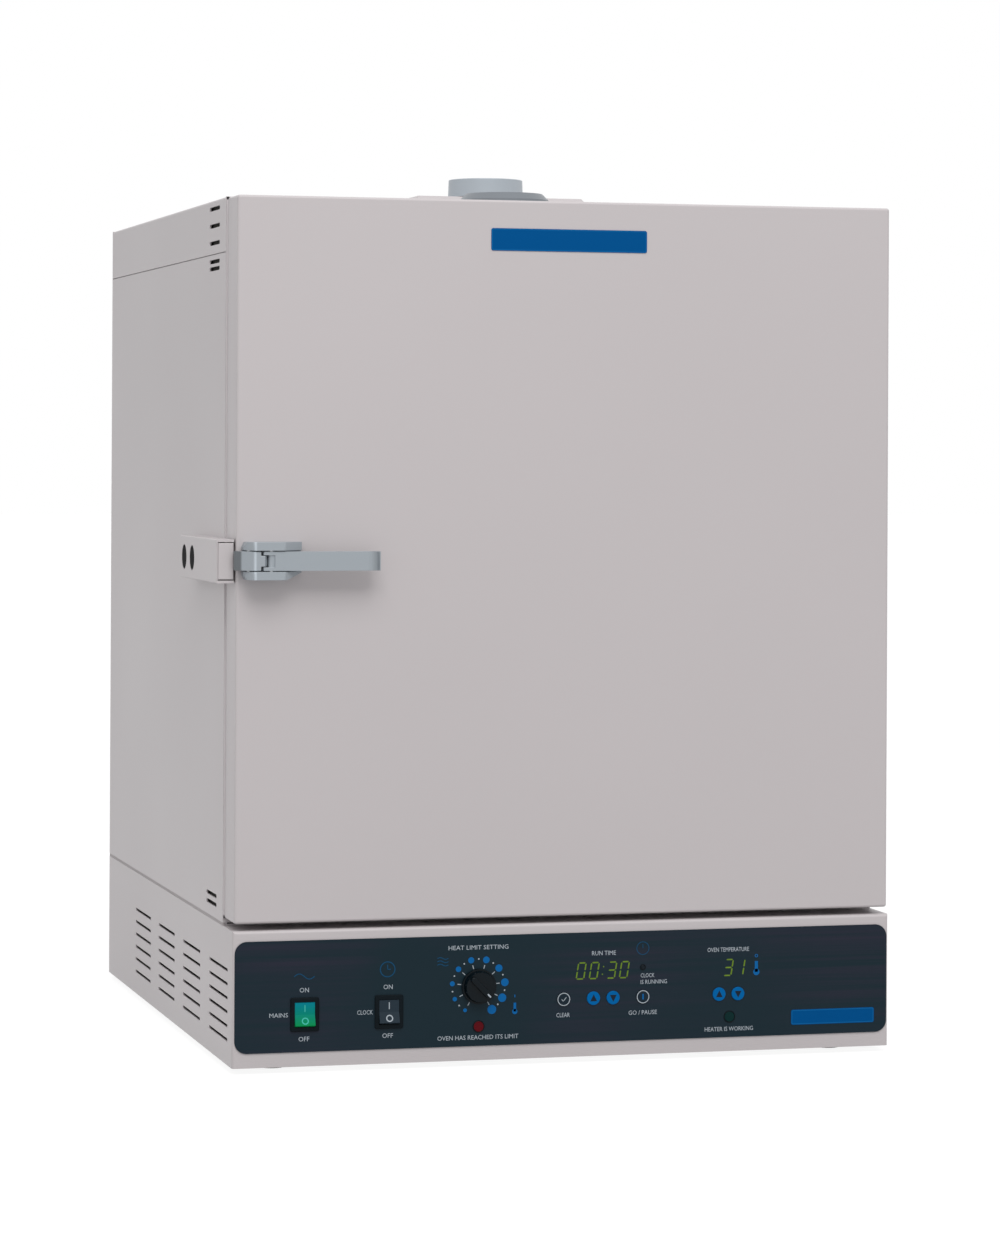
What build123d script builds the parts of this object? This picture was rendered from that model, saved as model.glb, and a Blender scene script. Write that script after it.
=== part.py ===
from build123d import *
import os

# Laboratory bench oven, in millimetres.
# X runs to the right as seen from the front, Y to the back and Z up.
# The origin is on the floor, at the centre of the oven's overall box.

os.makedirs("parts", exist_ok=True)

# Overall sizes of the painted body
width = 665
depth = 720
foot_height = 6
base_height = 131
cabinet_height = 705

# What stands out past the body on each side
strike_standoff = 17
hinge_offset = 6
knuckle_radius = 5
latch_reach = 26
inlet_rim = 1.5

# Sheet thicknesses and clearances
sheet = 1.5
liner = 1.2
fit = 0.3
running = 0.05

# The body's planes, with the overall box centred on the origin
hinge_reach = hinge_offset + knuckle_radius
middle_x = (strike_standoff - hinge_reach) / 2
left_x = middle_x - width / 2
right_x = middle_x + width / 2
front_y = (latch_reach - inlet_rim - depth) / 2
back_y = front_y + depth
base_top = foot_height + base_height
cabinet_top = base_top + cabinet_height

# Door and the gaps round it
door_thickness = 46
door_inset = 1.5
door_bottom_gap = 7
door_top_gap = 1
door_seam = 4
door_skirt = 2.5
door_left = left_x + door_inset
door_right = right_x - door_inset
door_bottom = base_top + door_bottom_gap
door_top = cabinet_top - door_top_gap
door_back = front_y + door_thickness
cabinet_front = door_back + door_seam
edge_radius = 3

# Cabinet side seams
cabinet_gap = 3
cap_skirt = 53
lip_step = 1.8
lip_height = 8
skirt_seam = 1
cap_seam_z = cabinet_top - cap_skirt
lip_half = width / 2 - lip_step

# Chamber
chamber_width = 510
chamber_height = 550
chamber_corner = 14
floor_insulation = 75
rear_insulation = 100
rear_duct = 57
chamber_front = cabinet_front + sheet
chamber_back = back_y - sheet - rear_duct - rear_insulation
chamber_depth = chamber_back - chamber_front
chamber_floor = base_top + sheet + floor_insulation + liner
chamber_roof = chamber_floor + chamber_height
chamber_flange = 12
chamber_mid_y = (chamber_front + chamber_back) / 2

# Control panel, measured from the base's left edge and its underside
overlay_thickness = 1
overlay_inset = 2
overlay_bottom = 14
overlay_height = 107
overlay_corner = 12
overlay_front = front_y - overlay_thickness
power_switch_at = (70.4, 50)
timer_switch_at = (153.4, 50)
knob_at = (242.7, 71.8)
overtemp_lamp_at = (242.9, 32.8)
timer_display_at = (368.3, 83.5)
timer_lamp_at = (409.2, 85.4)
temperature_display_at = (504.5, 82.5)
heating_lamp_at = (498.6, 34.1)
keys = {
    "reset_key": (328.4, 56.6),
    "timer_up_key": (358.7, 56.6),
    "timer_down_key": (378.7, 56.6),
    "start_key": (409.1, 56.6),
    "temperature_up_key": (487.7, 56.6),
    "temperature_down_key": (507.2, 56.6),
}
key_radius = 6.6
key_hole_clearance = 0.25
key_proud = 1.2
key_travel = 0.8
key_flange = 1.5
key_slack = 0.1
small_lamp_radius = 2
lamp_radius = 5


def panel_point(place):
    """Turn a place on the panel into X and Z."""
    return (left_x + place[0], foot_height + place[1])


def front_plane(y):
    """A plane that faces the front, with its own x along X and its y along Z."""
    return Plane.XZ.offset(-y)


def rectangle_between(x0, x1, y0, y1, mode=Mode.ADD):
    with Locations(((x0 + x1) / 2, (y0 + y1) / 2)):
        Rectangle(x1 - x0, y1 - y0, mode=mode)


def block_between(x0, x1, y0, y1, z0, z1, mode=Mode.ADD):
    with Locations(((x0 + x1) / 2, (y0 + y1) / 2, (z0 + z1) / 2)):
        Box(x1 - x0, y1 - y0, z1 - z0, mode=mode)


def save(piece, label):
    piece.part.label = label
    export_step(piece.part, f"parts/{label}.step")


# Base shell: folded and painted steel, open underneath, with louvres at both sides.
base_side_slot = (94, 3)
base_slot_columns = 4
base_slot_rows = 6
base_column_pitch = 142
base_row_pitch = 13.4
base_slots_mid_y = front_y + 283.5
base_slots_mid_z = foot_height + 57.7
switch_body = (22, 28)
display_window = (62, 21)
display_board_gap = 12
spindle_hole = 4
inlet_cutout = (48, 28)
inlet_place = (right_x - 110, foot_height + 62)
capillary_radius = 1.2
capillary_hole = 3
capillary_side = 150
capillary_x = middle_x + capillary_side
duct_gap = 20
duct_y = chamber_back + rear_insulation + duct_gap

with BuildPart() as base_shell:
    block_between(left_x, right_x, front_y, back_y, foot_height, base_top)
    front_edges = base_shell.edges().group_by(Axis.Y)[0]
    fillet(front_edges.sort_by(Axis.Z)[1:], radius=edge_radius)
    offset(amount=-sheet, openings=base_shell.faces().sort_by(Axis.Z)[0])
    with BuildSketch(Plane.YZ.offset(left_x - 1)):
        with Locations((base_slots_mid_y, base_slots_mid_z)):
            with GridLocations(base_column_pitch, base_row_pitch, base_slot_columns, base_slot_rows):
                SlotOverall(*base_side_slot)
    extrude(amount=width + 2, mode=Mode.SUBTRACT)
    with BuildSketch(front_plane(front_y - 1)):
        with Locations(panel_point(power_switch_at), panel_point(timer_switch_at)):
            Rectangle(*switch_body)
        with Locations(panel_point(timer_display_at), panel_point(temperature_display_at)):
            Rectangle(*display_window)
        with Locations(*[panel_point(place) for place in keys.values()]):
            Circle(key_radius + key_flange + 1)
        with Locations(panel_point(overtemp_lamp_at), panel_point(heating_lamp_at)):
            Circle(lamp_radius + fit)
        with Locations(panel_point(timer_lamp_at)):
            Circle(small_lamp_radius + fit)
        with Locations(panel_point(knob_at)):
            Circle(spindle_hole)
    extrude(amount=-(sheet + 2), mode=Mode.SUBTRACT)
    with BuildSketch(front_plane(back_y + 1)):
        with Locations(inlet_place):
            Rectangle(*inlet_cutout)
    extrude(amount=sheet + 2, mode=Mode.SUBTRACT)
    with BuildSketch(Plane.XY.offset(base_top + 1)):
        with Locations((capillary_x, duct_y)):
            Circle(capillary_hole)
    extrude(amount=-(sheet + 2), mode=Mode.SUBTRACT)
save(base_shell, "base_shell")

# Base floor pan: it closes the base and carries the feet and the electrical parts.
foot_inset = 48
foot_radius = 15
stud_radius = 4
stud_height = 14
pan_flange = 14
pan_top = foot_height + sheet
foot_places = [
    (x, y)
    for x in (left_x + foot_inset, right_x - foot_inset)
    for y in (front_y + foot_inset, back_y - foot_inset)
]

with BuildPart() as base_floor_pan:
    pan_inset = sheet + fit
    block_between(
        left_x + pan_inset,
        right_x - pan_inset,
        front_y + pan_inset,
        back_y - pan_inset,
        foot_height,
        foot_height + pan_flange,
    )
    corner_edges = base_floor_pan.edges().filter_by(Axis.Z)
    fillet(corner_edges, radius=edge_radius)
    offset(amount=-sheet, openings=base_floor_pan.faces().sort_by(Axis.Z)[-1])
    with Locations(*[(x, y, pan_top) for x, y in foot_places]):
        Hole(stud_radius + running)
save(base_floor_pan, "base_floor_pan")

# Levelling feet: low glides on threaded studs.
with BuildPart() as levelling_feet:
    with BuildSketch(Plane.XY):
        with Locations(*foot_places):
            Circle(foot_radius)
    extrude(amount=foot_height)
    chamfer(levelling_feet.edges().group_by(Axis.Z)[0], length=1)
    with BuildSketch(Plane.XY.offset(foot_height - 1)):
        with Locations(*foot_places):
            Circle(stud_radius)
    extrude(amount=stud_height + 1)
save(levelling_feet, "levelling_feet")

# Control overlay: one rounded panel over the front of the base.
with BuildPart() as control_overlay:
    overlay_mid_z = foot_height + overlay_bottom + overlay_height / 2
    with BuildSketch(front_plane(front_y)):
        with Locations((middle_x, overlay_mid_z)):
            RectangleRounded(width - 2 * overlay_inset, overlay_height, overlay_corner)
        with Locations(panel_point(power_switch_at), panel_point(timer_switch_at)):
            Rectangle(*switch_body, mode=Mode.SUBTRACT)
        with Locations(*[panel_point(place) for place in keys.values()]):
            Circle(key_radius + key_hole_clearance, mode=Mode.SUBTRACT)
        with Locations(panel_point(overtemp_lamp_at), panel_point(heating_lamp_at)):
            Circle(lamp_radius + fit, mode=Mode.SUBTRACT)
        with Locations(panel_point(timer_lamp_at)):
            Circle(small_lamp_radius + fit, mode=Mode.SUBTRACT)
        with Locations(panel_point(knob_at)):
            Circle(spindle_hole, mode=Mode.SUBTRACT)
    extrude(amount=overlay_thickness)
save(control_overlay, "control_overlay")

# Rocker switches: a frame that snaps into the panel, and a rocker that tilts in it.
frame_size = (28, 32.5)
frame_proud = 2
rocker_size = (19.6, 23.6)
rocker_gap = 0.25
switch_depth = 24
switch_wall_fit = 0.2
rocker_tilt = 9
rocker_rise = 2.6
pivot_y = overlay_front + 1
frame_front = overlay_front - frame_proud

for label, place in (("power_switch_frame", power_switch_at), ("timer_switch_frame", timer_switch_at)):
    centre = panel_point(place)
    with BuildPart() as switch_frame:
        with BuildSketch(front_plane(overlay_front)):
            with Locations(centre):
                RectangleRounded(*frame_size, 2)
        extrude(amount=frame_proud)
        rim = switch_frame.faces().sort_by(Axis.Y)[0].edges()
        chamfer(rim, length=0.8)
        with BuildSketch(front_plane(overlay_front)):
            with Locations(centre):
                Rectangle(switch_body[0] - switch_wall_fit, switch_body[1] - switch_wall_fit)
        extrude(amount=-switch_depth)
        with BuildSketch(front_plane(frame_front)):
            with Locations(centre):
                Rectangle(rocker_size[0] + 2 * rocker_gap, rocker_size[1] + 2 * rocker_gap)
        extrude(amount=-(switch_depth / 2 + frame_proud), mode=Mode.SUBTRACT)
    save(switch_frame, label)

for label, place in (("power_rocker", power_switch_at), ("timer_rocker", timer_switch_at)):
    rocker_x, rocker_z = panel_point(place)
    with BuildPart() as rocker:
        side = Plane.YZ.offset(rocker_x - rocker_size[0] / 2)
        with BuildSketch(side):
            with Locations((pivot_y, rocker_z)):
                Circle(rocker_size[1] / 2)
            face_plane_y = pivot_y - rocker_rise
            for tilt, upper in ((0, True), (-2 * rocker_tilt, False)):
                with Locations(Location((face_plane_y, rocker_z, 0), (0, 0, tilt))):
                    Rectangle(
                        rocker_size[1],
                        rocker_size[1],
                        align=(Align.MAX, Align.MIN if upper else Align.MAX),
                        mode=Mode.SUBTRACT,
                    )
            with Locations((pivot_y + rocker_rise, rocker_z)):
                Rectangle(rocker_size[1], rocker_size[1], align=(Align.MIN, Align.CENTER), mode=Mode.SUBTRACT)
        extrude(amount=rocker_size[0])
    save(rocker, label)

# Over-temperature thermostat behind the panel, and its knob with a spindle through it.
knob_radius = 17
knob_height = 13
knob_skirt = 3
knob_grip = (6, 27)
spindle_radius = 3
spindle_length = 22
knob_clearance = 0.3
pointer_angle = 46
thermostat_size = (44, 36, 26)
knob_x, knob_z = panel_point(knob_at)
panel_back = front_y + sheet

with BuildPart() as overtemp_thermostat:
    with BuildSketch(front_plane(panel_back)):
        with Locations((knob_x, knob_z)):
            RectangleRounded(thermostat_size[0], thermostat_size[1], 3)
    extrude(amount=-thermostat_size[2])
    with BuildSketch(front_plane(panel_back)):
        with Locations((knob_x, knob_z)):
            Circle(spindle_radius + running)
    extrude(amount=-spindle_length, mode=Mode.SUBTRACT)
save(overtemp_thermostat, "overtemp_thermostat")

with BuildPart() as overtemp_knob:
    knob_back = overlay_front - knob_clearance
    with BuildSketch(front_plane(knob_back)):
        with Locations((knob_x, knob_z)):
            Circle(knob_radius)
    extrude(amount=knob_skirt)
    with BuildSketch(front_plane(knob_back - knob_skirt)):
        with Locations((knob_x, knob_z)):
            Circle(knob_radius - 1.5)
    extrude(amount=knob_height - knob_skirt - 4, taper=12)
    with BuildSketch(front_plane(knob_back)):
        with Locations(Location((knob_x, knob_z, 0), (0, 0, -pointer_angle))):
            SlotOverall(knob_grip[1], knob_grip[0])
    extrude(amount=knob_height)
    fillet(overtemp_knob.faces().sort_by(Axis.Y)[0].edges(), radius=1.5)
    with BuildSketch(front_plane(knob_back)):
        with Locations((knob_x, knob_z)):
            Circle(spindle_radius)
    extrude(amount=-(spindle_length - 2))
save(overtemp_knob, "overtemp_knob")

# Displays sit behind the overlay, in the base's windows.
display_depth = 8
for label, place in (
    ("timer_display", timer_display_at),
    ("temperature_display", temperature_display_at),
):
    with BuildPart() as display:
        with BuildSketch(front_plane(front_y)):
            with Locations(panel_point(place)):
                RectangleRounded(display_window[0] - 2 * fit, display_window[1] - 2 * fit, 1)
        extrude(amount=-display_depth)
    save(display, label)

# Indicator lamps: round lenses with a short body behind.
lamp_depth = 10
lamp_proud = 0.6
for label, place, radius in (
    ("overtemp_lamp", overtemp_lamp_at, lamp_radius),
    ("heating_lamp", heating_lamp_at, lamp_radius),
    ("timer_lamp", timer_lamp_at, small_lamp_radius),
):
    with BuildPart() as lamp:
        with BuildSketch(front_plane(overlay_front - lamp_proud)):
            with Locations(panel_point(place)):
                Circle(radius)
        extrude(amount=-(lamp_depth + lamp_proud))
        fillet(lamp.faces().sort_by(Axis.Y)[0].edges(), radius=lamp_proud * 0.8)
    save(lamp, label)

# Control board on stand-offs behind the panel, with one switch behind each key.
board_size = (275, 84)
board_thickness = 1.6
board_mid = (422, 66)
board_front = panel_back + display_board_gap
standoff_radius = 3
tact_radius = 3
key_stem = 2.5
stem_gap = key_travel + key_slack
key_back = front_y + key_flange
tact_front = board_front - 4

with BuildPart() as control_board:
    board_x, board_z = panel_point(board_mid)
    with BuildSketch(front_plane(board_front)):
        with Locations((board_x, board_z)):
            Rectangle(*board_size)
    extrude(amount=-board_thickness)
    with BuildSketch(front_plane(board_front)):
        with Locations((board_x, board_z)):
            with GridLocations(board_size[0] - 12, board_size[1] - 12, 2, 2):
                Circle(standoff_radius)
    extrude(amount=display_board_gap)
    with BuildSketch(front_plane(board_front)):
        with Locations(*[panel_point(place) for place in keys.values()]):
            Circle(tact_radius)
    extrude(amount=board_front - tact_front)
save(control_board, "control_board")

# Push keys: round caps in the overlay, held behind it by a flange.
for label, place in keys.items():
    with BuildPart() as key:
        with BuildSketch(front_plane(key_back)):
            with Locations(panel_point(place)):
                Circle(key_radius + key_flange)
        extrude(amount=key_flange - key_slack)
        with BuildSketch(front_plane(key_back)):
            with Locations(panel_point(place)):
                Circle(key_radius)
        extrude(amount=key_back - overlay_front + key_proud)
        fillet(key.faces().sort_by(Axis.Y)[0].edges(), radius=0.5)
        with BuildSketch(front_plane(key_back)):
            with Locations(panel_point(place)):
                Circle(key_stem)
        extrude(amount=-(tact_front - key_back - stem_gap))
    save(key, label)

# Heater relay and transformer on the base floor, and the mains inlet at the rear.
relay_size = (60, 45, 50)
transformer_core = (70, 60, 58)
transformer_coil = (44, 78, 40)
relay_place = (middle_x + 60, front_y + 300)
transformer_place = (middle_x - 150, front_y + 260)

with BuildPart() as heater_relay:
    with BuildSketch(Plane.XY.offset(pan_top)):
        with Locations(relay_place):
            RectangleRounded(relay_size[0], relay_size[1], 3)
    extrude(amount=relay_size[2])
    with BuildSketch(Plane.XY.offset(pan_top)):
        with Locations(relay_place):
            RectangleRounded(relay_size[0] + 20, relay_size[1] - 15, 3)
    extrude(amount=4)
save(heater_relay, "heater_relay")

with BuildPart() as transformer:
    with BuildSketch(Plane.XY.offset(pan_top)):
        with Locations(transformer_place):
            Rectangle(transformer_core[0], transformer_core[1])
    extrude(amount=transformer_core[2])
    coil_z = pan_top + (transformer_core[2] - transformer_coil[2]) / 2
    with BuildSketch(Plane.XY.offset(coil_z)):
        with Locations(transformer_place):
            RectangleRounded(transformer_coil[0], transformer_coil[1], 8)
    extrude(amount=transformer_coil[2])
save(transformer, "transformer")

inlet_depth = 26
inlet_socket = (24.5, 17)
pin_size = (4, 2, 14)
pin_spread = 7

with BuildPart() as power_inlet:
    with BuildSketch(front_plane(back_y)):
        with Locations(inlet_place):
            Rectangle(inlet_cutout[0] - 2 * fit, inlet_cutout[1] - 2 * fit)
    extrude(amount=inlet_depth)
    with BuildSketch(front_plane(back_y)):
        with Locations(inlet_place):
            RectangleRounded(inlet_cutout[0] + 8, inlet_cutout[1] + 8, 3)
    extrude(amount=-inlet_rim)
    with BuildSketch(front_plane(back_y + inlet_rim)):
        with Locations(inlet_place):
            RectangleRounded(*inlet_socket, 2)
    extrude(amount=inlet_depth - 6, mode=Mode.SUBTRACT)
    with BuildSketch(front_plane(back_y + inlet_rim - inlet_depth + 5)):
        for across, up in ((-pin_spread, -1.5), (0, 2.5), (pin_spread, -1.5)):
            with Locations((inlet_place[0] + across, inlet_place[1] + up)):
                Rectangle(pin_size[1], pin_size[0])
    extrude(amount=-pin_size[2])
save(power_inlet, "power_inlet")

# Cabinet wrap: floor and both sides in one folded sheet, with a foot step that
# leaves the dark gap above the base and a lip that goes up inside the top cover.
# Small slots near the front corners let the air in the door frame out.
wrap_back = back_y - sheet
side_slot = (52, 4)
side_slot_y = front_y + 108
wrap_slot_heights = (base_top + 16, base_top + 24.5, cap_seam_z - 14.5, cap_seam_z - 7.5)


def wrap_points(inset):
    half = width / 2 - inset
    foot_half = width / 2 - cabinet_gap - inset
    lip = lip_half - inset
    seam = cap_seam_z - skirt_seam - inset
    right = [
        (middle_x + foot_half, base_top + inset),
        (middle_x + foot_half, base_top + cabinet_gap + inset),
        (middle_x + half, base_top + cabinet_gap + inset),
        (middle_x + half, seam),
        (middle_x + lip, seam),
        (middle_x + lip, cap_seam_z + lip_height),
    ]
    left = [(2 * middle_x - x, z) for x, z in reversed(right)]
    return right + left


with BuildPart() as cabinet_wrap:
    with BuildSketch(front_plane(wrap_back)):
        with BuildLine():
            Polyline(*wrap_points(0), close=True)
        make_face()
        with BuildLine():
            Polyline(*wrap_points(sheet), close=True)
        make_face(mode=Mode.SUBTRACT)
    extrude(amount=wrap_back - chamber_front)
    with BuildSketch(Plane.XY.offset(base_top - 1)):
        with Locations((capillary_x, duct_y)):
            Circle(capillary_hole)
    extrude(amount=sheet + 2, mode=Mode.SUBTRACT)
    with BuildSketch(Plane.YZ.offset(left_x - 1)):
        with Locations(*[(side_slot_y, height) for height in wrap_slot_heights]):
            SlotOverall(*side_slot)
    extrude(amount=width + 2, mode=Mode.SUBTRACT)
save(cabinet_wrap, "cabinet_wrap")

# Top cover: a folded cap whose skirts meet the cabinet sides at a seam.
vent_offset = 22.5
vent_y = chamber_mid_y + vent_offset
vent_bore = 25
port_offset = (-11, -94.5)
port_x = middle_x + port_offset[0]
port_y = chamber_mid_y + port_offset[1]
port_bore = 20
roof_clearance = 4
cover_slot_heights = (cabinet_top - 8.5, cabinet_top - 25.4, cabinet_top - 42.3)
cover_edge = 2.5

with BuildPart() as top_cover:
    block_between(left_x, right_x, chamber_front, wrap_back, cap_seam_z, cabinet_top)
    long_edges = top_cover.edges().filter_by(Axis.Y).group_by(Axis.Z)[-1]
    fillet(long_edges, radius=cover_edge)
    offset(amount=-sheet, openings=top_cover.faces().sort_by(Axis.Z)[0])
    block_between(
        left_x + sheet,
        right_x - sheet,
        chamber_front - 1,
        wrap_back + 1,
        cap_seam_z - 1,
        cabinet_top - sheet,
        mode=Mode.SUBTRACT,
    )
    with BuildSketch(Plane.YZ.offset(left_x - 1)):
        with Locations(*[(side_slot_y, height) for height in cover_slot_heights]):
            SlotOverall(*side_slot)
    extrude(amount=width + 2, mode=Mode.SUBTRACT)
    with BuildSketch(Plane.XY.offset(cabinet_top + 1)):
        with Locations((middle_x, vent_y)):
            Circle(vent_bore + roof_clearance)
        with Locations((port_x, port_y)):
            Circle(port_bore + roof_clearance)
    extrude(amount=-(sheet + 2), mode=Mode.SUBTRACT)
save(top_cover, "top_cover")

# Back panel: a flat painted sheet over the whole rear, with a block of louvres.
back_slot = (120, 5)

with BuildPart() as back_panel:
    with BuildSketch(front_plane(back_y)):
        rectangle_between(left_x, right_x, base_top + cabinet_gap, cabinet_top)
        with Locations((middle_x, base_top + 90)):
            with GridLocations(160, 18, 3, 5):
                SlotOverall(*back_slot, mode=Mode.SUBTRACT)
    extrude(amount=sheet)
save(back_panel, "back_panel")

# Front frame: the face that the door's gasket closes on, round the chamber's mouth.
with BuildPart() as front_frame:
    with BuildSketch(front_plane(chamber_front)):
        rectangle_between(left_x, right_x, base_top + cabinet_gap, cabinet_top)
        with Locations((middle_x, chamber_floor + chamber_height / 2)):
            RectangleRounded(chamber_width, chamber_height, chamber_corner, mode=Mode.SUBTRACT)
    extrude(amount=sheet)
save(front_frame, "front_frame")

# Chamber: a stainless box with coved corners, open at the front.
element_radius = 4
element_lift = 22
element_legs = 6
element_pitch = 70
element_bend = 30
element_tail = 30
probe_radius = 2.5
probe_side = 120
probe_height = 380
probe_place = (middle_x - probe_side, chamber_floor + probe_height)
bulb_radius = 4
bulb_height = 320
bulb_place = (capillary_x, chamber_floor + bulb_height)
chamber_mid_z = chamber_floor + chamber_height / 2
element_z = chamber_floor + element_lift
element_half = element_pitch * (element_legs - 1) / 2
wall_hole = 0.3
outer_corner = chamber_corner + liner

with BuildPart() as chamber:
    with BuildSketch(front_plane(chamber_back)):
        with Locations((middle_x, chamber_mid_z)):
            RectangleRounded(chamber_width + 2 * liner, chamber_height + 2 * liner, outer_corner)
    extrude(amount=chamber_back - chamber_front)
    with BuildSketch(front_plane(chamber_front + liner)):
        with Locations((middle_x, chamber_mid_z)):
            RectangleRounded(
                chamber_width + 2 * chamber_flange, chamber_height + 2 * chamber_flange, outer_corner
            )
    extrude(amount=liner)
    with BuildSketch(front_plane(chamber_back - liner)):
        with Locations((middle_x, chamber_mid_z)):
            RectangleRounded(chamber_width, chamber_height, chamber_corner)
    extrude(amount=chamber_depth, mode=Mode.SUBTRACT)
    with BuildSketch(Plane.XY.offset(chamber_roof - 1)):
        with Locations((middle_x, vent_y)):
            Circle(vent_bore - sheet)
        with Locations((port_x, port_y)):
            Circle(port_bore - sheet)
    extrude(amount=liner + 2, mode=Mode.SUBTRACT)
    with BuildSketch(front_plane(chamber_back + 1)):
        with Locations((middle_x - element_half, element_z), (middle_x + element_half, element_z)):
            Circle(element_radius + wall_hole)
        with Locations(probe_place):
            Circle(probe_radius + wall_hole)
        with Locations(bulb_place):
            Circle(bulb_radius + wall_hole)
    extrude(amount=liner + 2, mode=Mode.SUBTRACT)
save(chamber, "chamber")

# Insulation: a blanket round the chamber's four sides and a slab behind it.
blanket_half = lip_half - sheet - fit
blanket_bottom = base_top + sheet + fit
blanket_top = cabinet_top - sheet - fit
blanket_front = chamber_front + liner + fit
blanket_back = chamber_back + rear_insulation

with BuildPart() as insulation_blanket:
    with BuildSketch(front_plane(blanket_back)):
        rectangle_between(
            middle_x - blanket_half, middle_x + blanket_half, blanket_bottom, blanket_top
        )
        with Locations((middle_x, chamber_mid_z)):
            RectangleRounded(
                chamber_width + 2 * (liner + fit),
                chamber_height + 2 * (liner + fit),
                outer_corner + fit,
                mode=Mode.SUBTRACT,
            )
    extrude(amount=blanket_back - blanket_front)
    foot_half = width / 2 - cabinet_gap - sheet - fit
    for x0, x1 in (
        (middle_x - width, middle_x - foot_half),
        (middle_x + foot_half, middle_x + width),
    ):
        block_between(
            x0,
            x1,
            blanket_front - 1,
            blanket_back + 1,
            blanket_bottom - 1,
            base_top + cabinet_gap + sheet + fit,
            mode=Mode.SUBTRACT,
        )
    with BuildSketch(Plane.XY.offset(chamber_roof)):
        with Locations((middle_x, vent_y)):
            Circle(vent_bore + fit)
        with Locations((port_x, port_y)):
            Circle(port_bore + fit)
    extrude(amount=blanket_top - chamber_roof + 1, mode=Mode.SUBTRACT)
save(insulation_blanket, "insulation_blanket")

with BuildPart() as rear_slab:
    with BuildSketch(front_plane(blanket_back)):
        with Locations((middle_x, chamber_mid_z)):
            RectangleRounded(chamber_width + 2 * liner, chamber_height + 2 * liner, outer_corner)
        with Locations((middle_x - element_half, element_z), (middle_x + element_half, element_z)):
            Circle(element_radius + 1, mode=Mode.SUBTRACT)
        with Locations(probe_place):
            Circle(probe_radius + 1, mode=Mode.SUBTRACT)
        with Locations(bulb_place):
            Circle(bulb_radius + 1, mode=Mode.SUBTRACT)
    extrude(amount=rear_insulation - fit)
save(rear_slab, "rear_insulation")

# Heating element: one sheathed tube in hairpins under the floor plate.
element_front = chamber_front + 70
element_rear = chamber_back - 50

with BuildPart() as heating_element:
    leg_places = [middle_x - element_half + element_pitch * leg for leg in range(element_legs)]
    corners = [(leg_places[0], blanket_back + element_tail, element_z)]
    for leg, leg_x in enumerate(leg_places):
        ends = (element_rear, element_front)
        if leg % 2:
            ends = (element_front, element_rear)
        if leg > 0:
            corners.append((leg_x, ends[0], element_z))
        if leg < element_legs - 1:
            corners.append((leg_x, ends[1], element_z))
    corners.append((leg_places[-1], blanket_back + element_tail, element_z))
    with BuildLine() as element_path:
        FilletPolyline(*corners, radius=element_bend)
    with BuildSketch(Plane(corners[0], z_dir=(0, -1, 0))):
        Circle(element_radius)
    sweep(path=element_path.wires()[0])
save(heating_element, "heating_element")

# Diffuser floor: a perforated stainless plate that stands over the element.
diffuser_lift = 44
diffuser_gap = 3
diffuser_setback = 28
diffuser_slot = (70, 9)
diffuser_sheet = 1.5

with BuildPart() as diffuser_plate:
    half = chamber_width / 2 - diffuser_gap
    low = chamber_floor
    high = chamber_floor + diffuser_lift
    with BuildSketch(front_plane(chamber_back - liner - diffuser_gap)):
        rectangle_between(middle_x - half, middle_x + half, low, high)
        rectangle_between(
            middle_x - half + diffuser_sheet,
            middle_x + half - diffuser_sheet,
            low,
            high - diffuser_sheet,
            mode=Mode.SUBTRACT,
        )
    extrude(amount=chamber_depth - liner - diffuser_gap - diffuser_setback)
    with BuildSketch(Plane.XY.offset(high + 1)):
        with Locations((middle_x, chamber_mid_y)):
            with GridLocations(110, 60, 4, 7):
                SlotOverall(*diffuser_slot)
    extrude(amount=-(diffuser_sheet + 2), mode=Mode.SUBTRACT)
    for side in (-1, 1):
        corner_x = middle_x + side * half
        block_between(
            corner_x - chamber_corner,
            corner_x + chamber_corner,
            chamber_front,
            chamber_back,
            low - 1,
            low + chamber_corner,
            mode=Mode.SUBTRACT,
        )
    foot_places_y = (chamber_front + 60, chamber_back - 60)
    for side in (-1, 1):
        for y in foot_places_y:
            foot_x = middle_x + side * (half - chamber_corner - 5)
            block_between(foot_x - 1, foot_x + 1, y - 10, y + 10, low, high)
save(diffuser_plate, "diffuser_plate")

# Shelf standards: four slotted strips on the chamber's side walls.
standard_size = (20, 5)
standard_bottom = chamber_floor + diffuser_lift + 12
standard_top = chamber_roof - 30
standard_spread = 300
standard_slot = (10, 5)
slot_pitch = 32
slot_start = 20
standard_slots = int((standard_top - standard_bottom - slot_start) / slot_pitch)
slot_heights = [standard_bottom + slot_start + slot_pitch * row for row in range(standard_slots)]
standard_places_y = (chamber_mid_y - standard_spread / 2, chamber_mid_y + standard_spread / 2)

with BuildPart() as shelf_standards:
    for side in (-1, 1):
        wall_x = middle_x + side * chamber_width / 2
        with BuildSketch(Plane.YZ.offset(wall_x)):
            for y in standard_places_y:
                rectangle_between(
                    y - standard_size[0] / 2, y + standard_size[0] / 2, standard_bottom, standard_top
                )
                for height in slot_heights:
                    with Locations((y, height)):
                        Rectangle(*standard_slot, mode=Mode.SUBTRACT)
        extrude(amount=-side * standard_size[1])
save(shelf_standards, "shelf_standards")

# Wire shelves on bent clips that hook into the standards.
shelf_slots = {"lower_shelf": 2, "upper_shelf": 7}
clip_size = (14, 10, 9)
clip_tongue = 3.5
shelf_rod = 3
shelf_wire = 1.6
shelf_side_gap = 3
shelf_end_gap = 35
shelf_depth = chamber_depth - 2 * shelf_end_gap
shelf_wires = 17
shelf_corner = 12
shelf_half = chamber_width / 2 - standard_size[1] - shelf_side_gap

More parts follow.
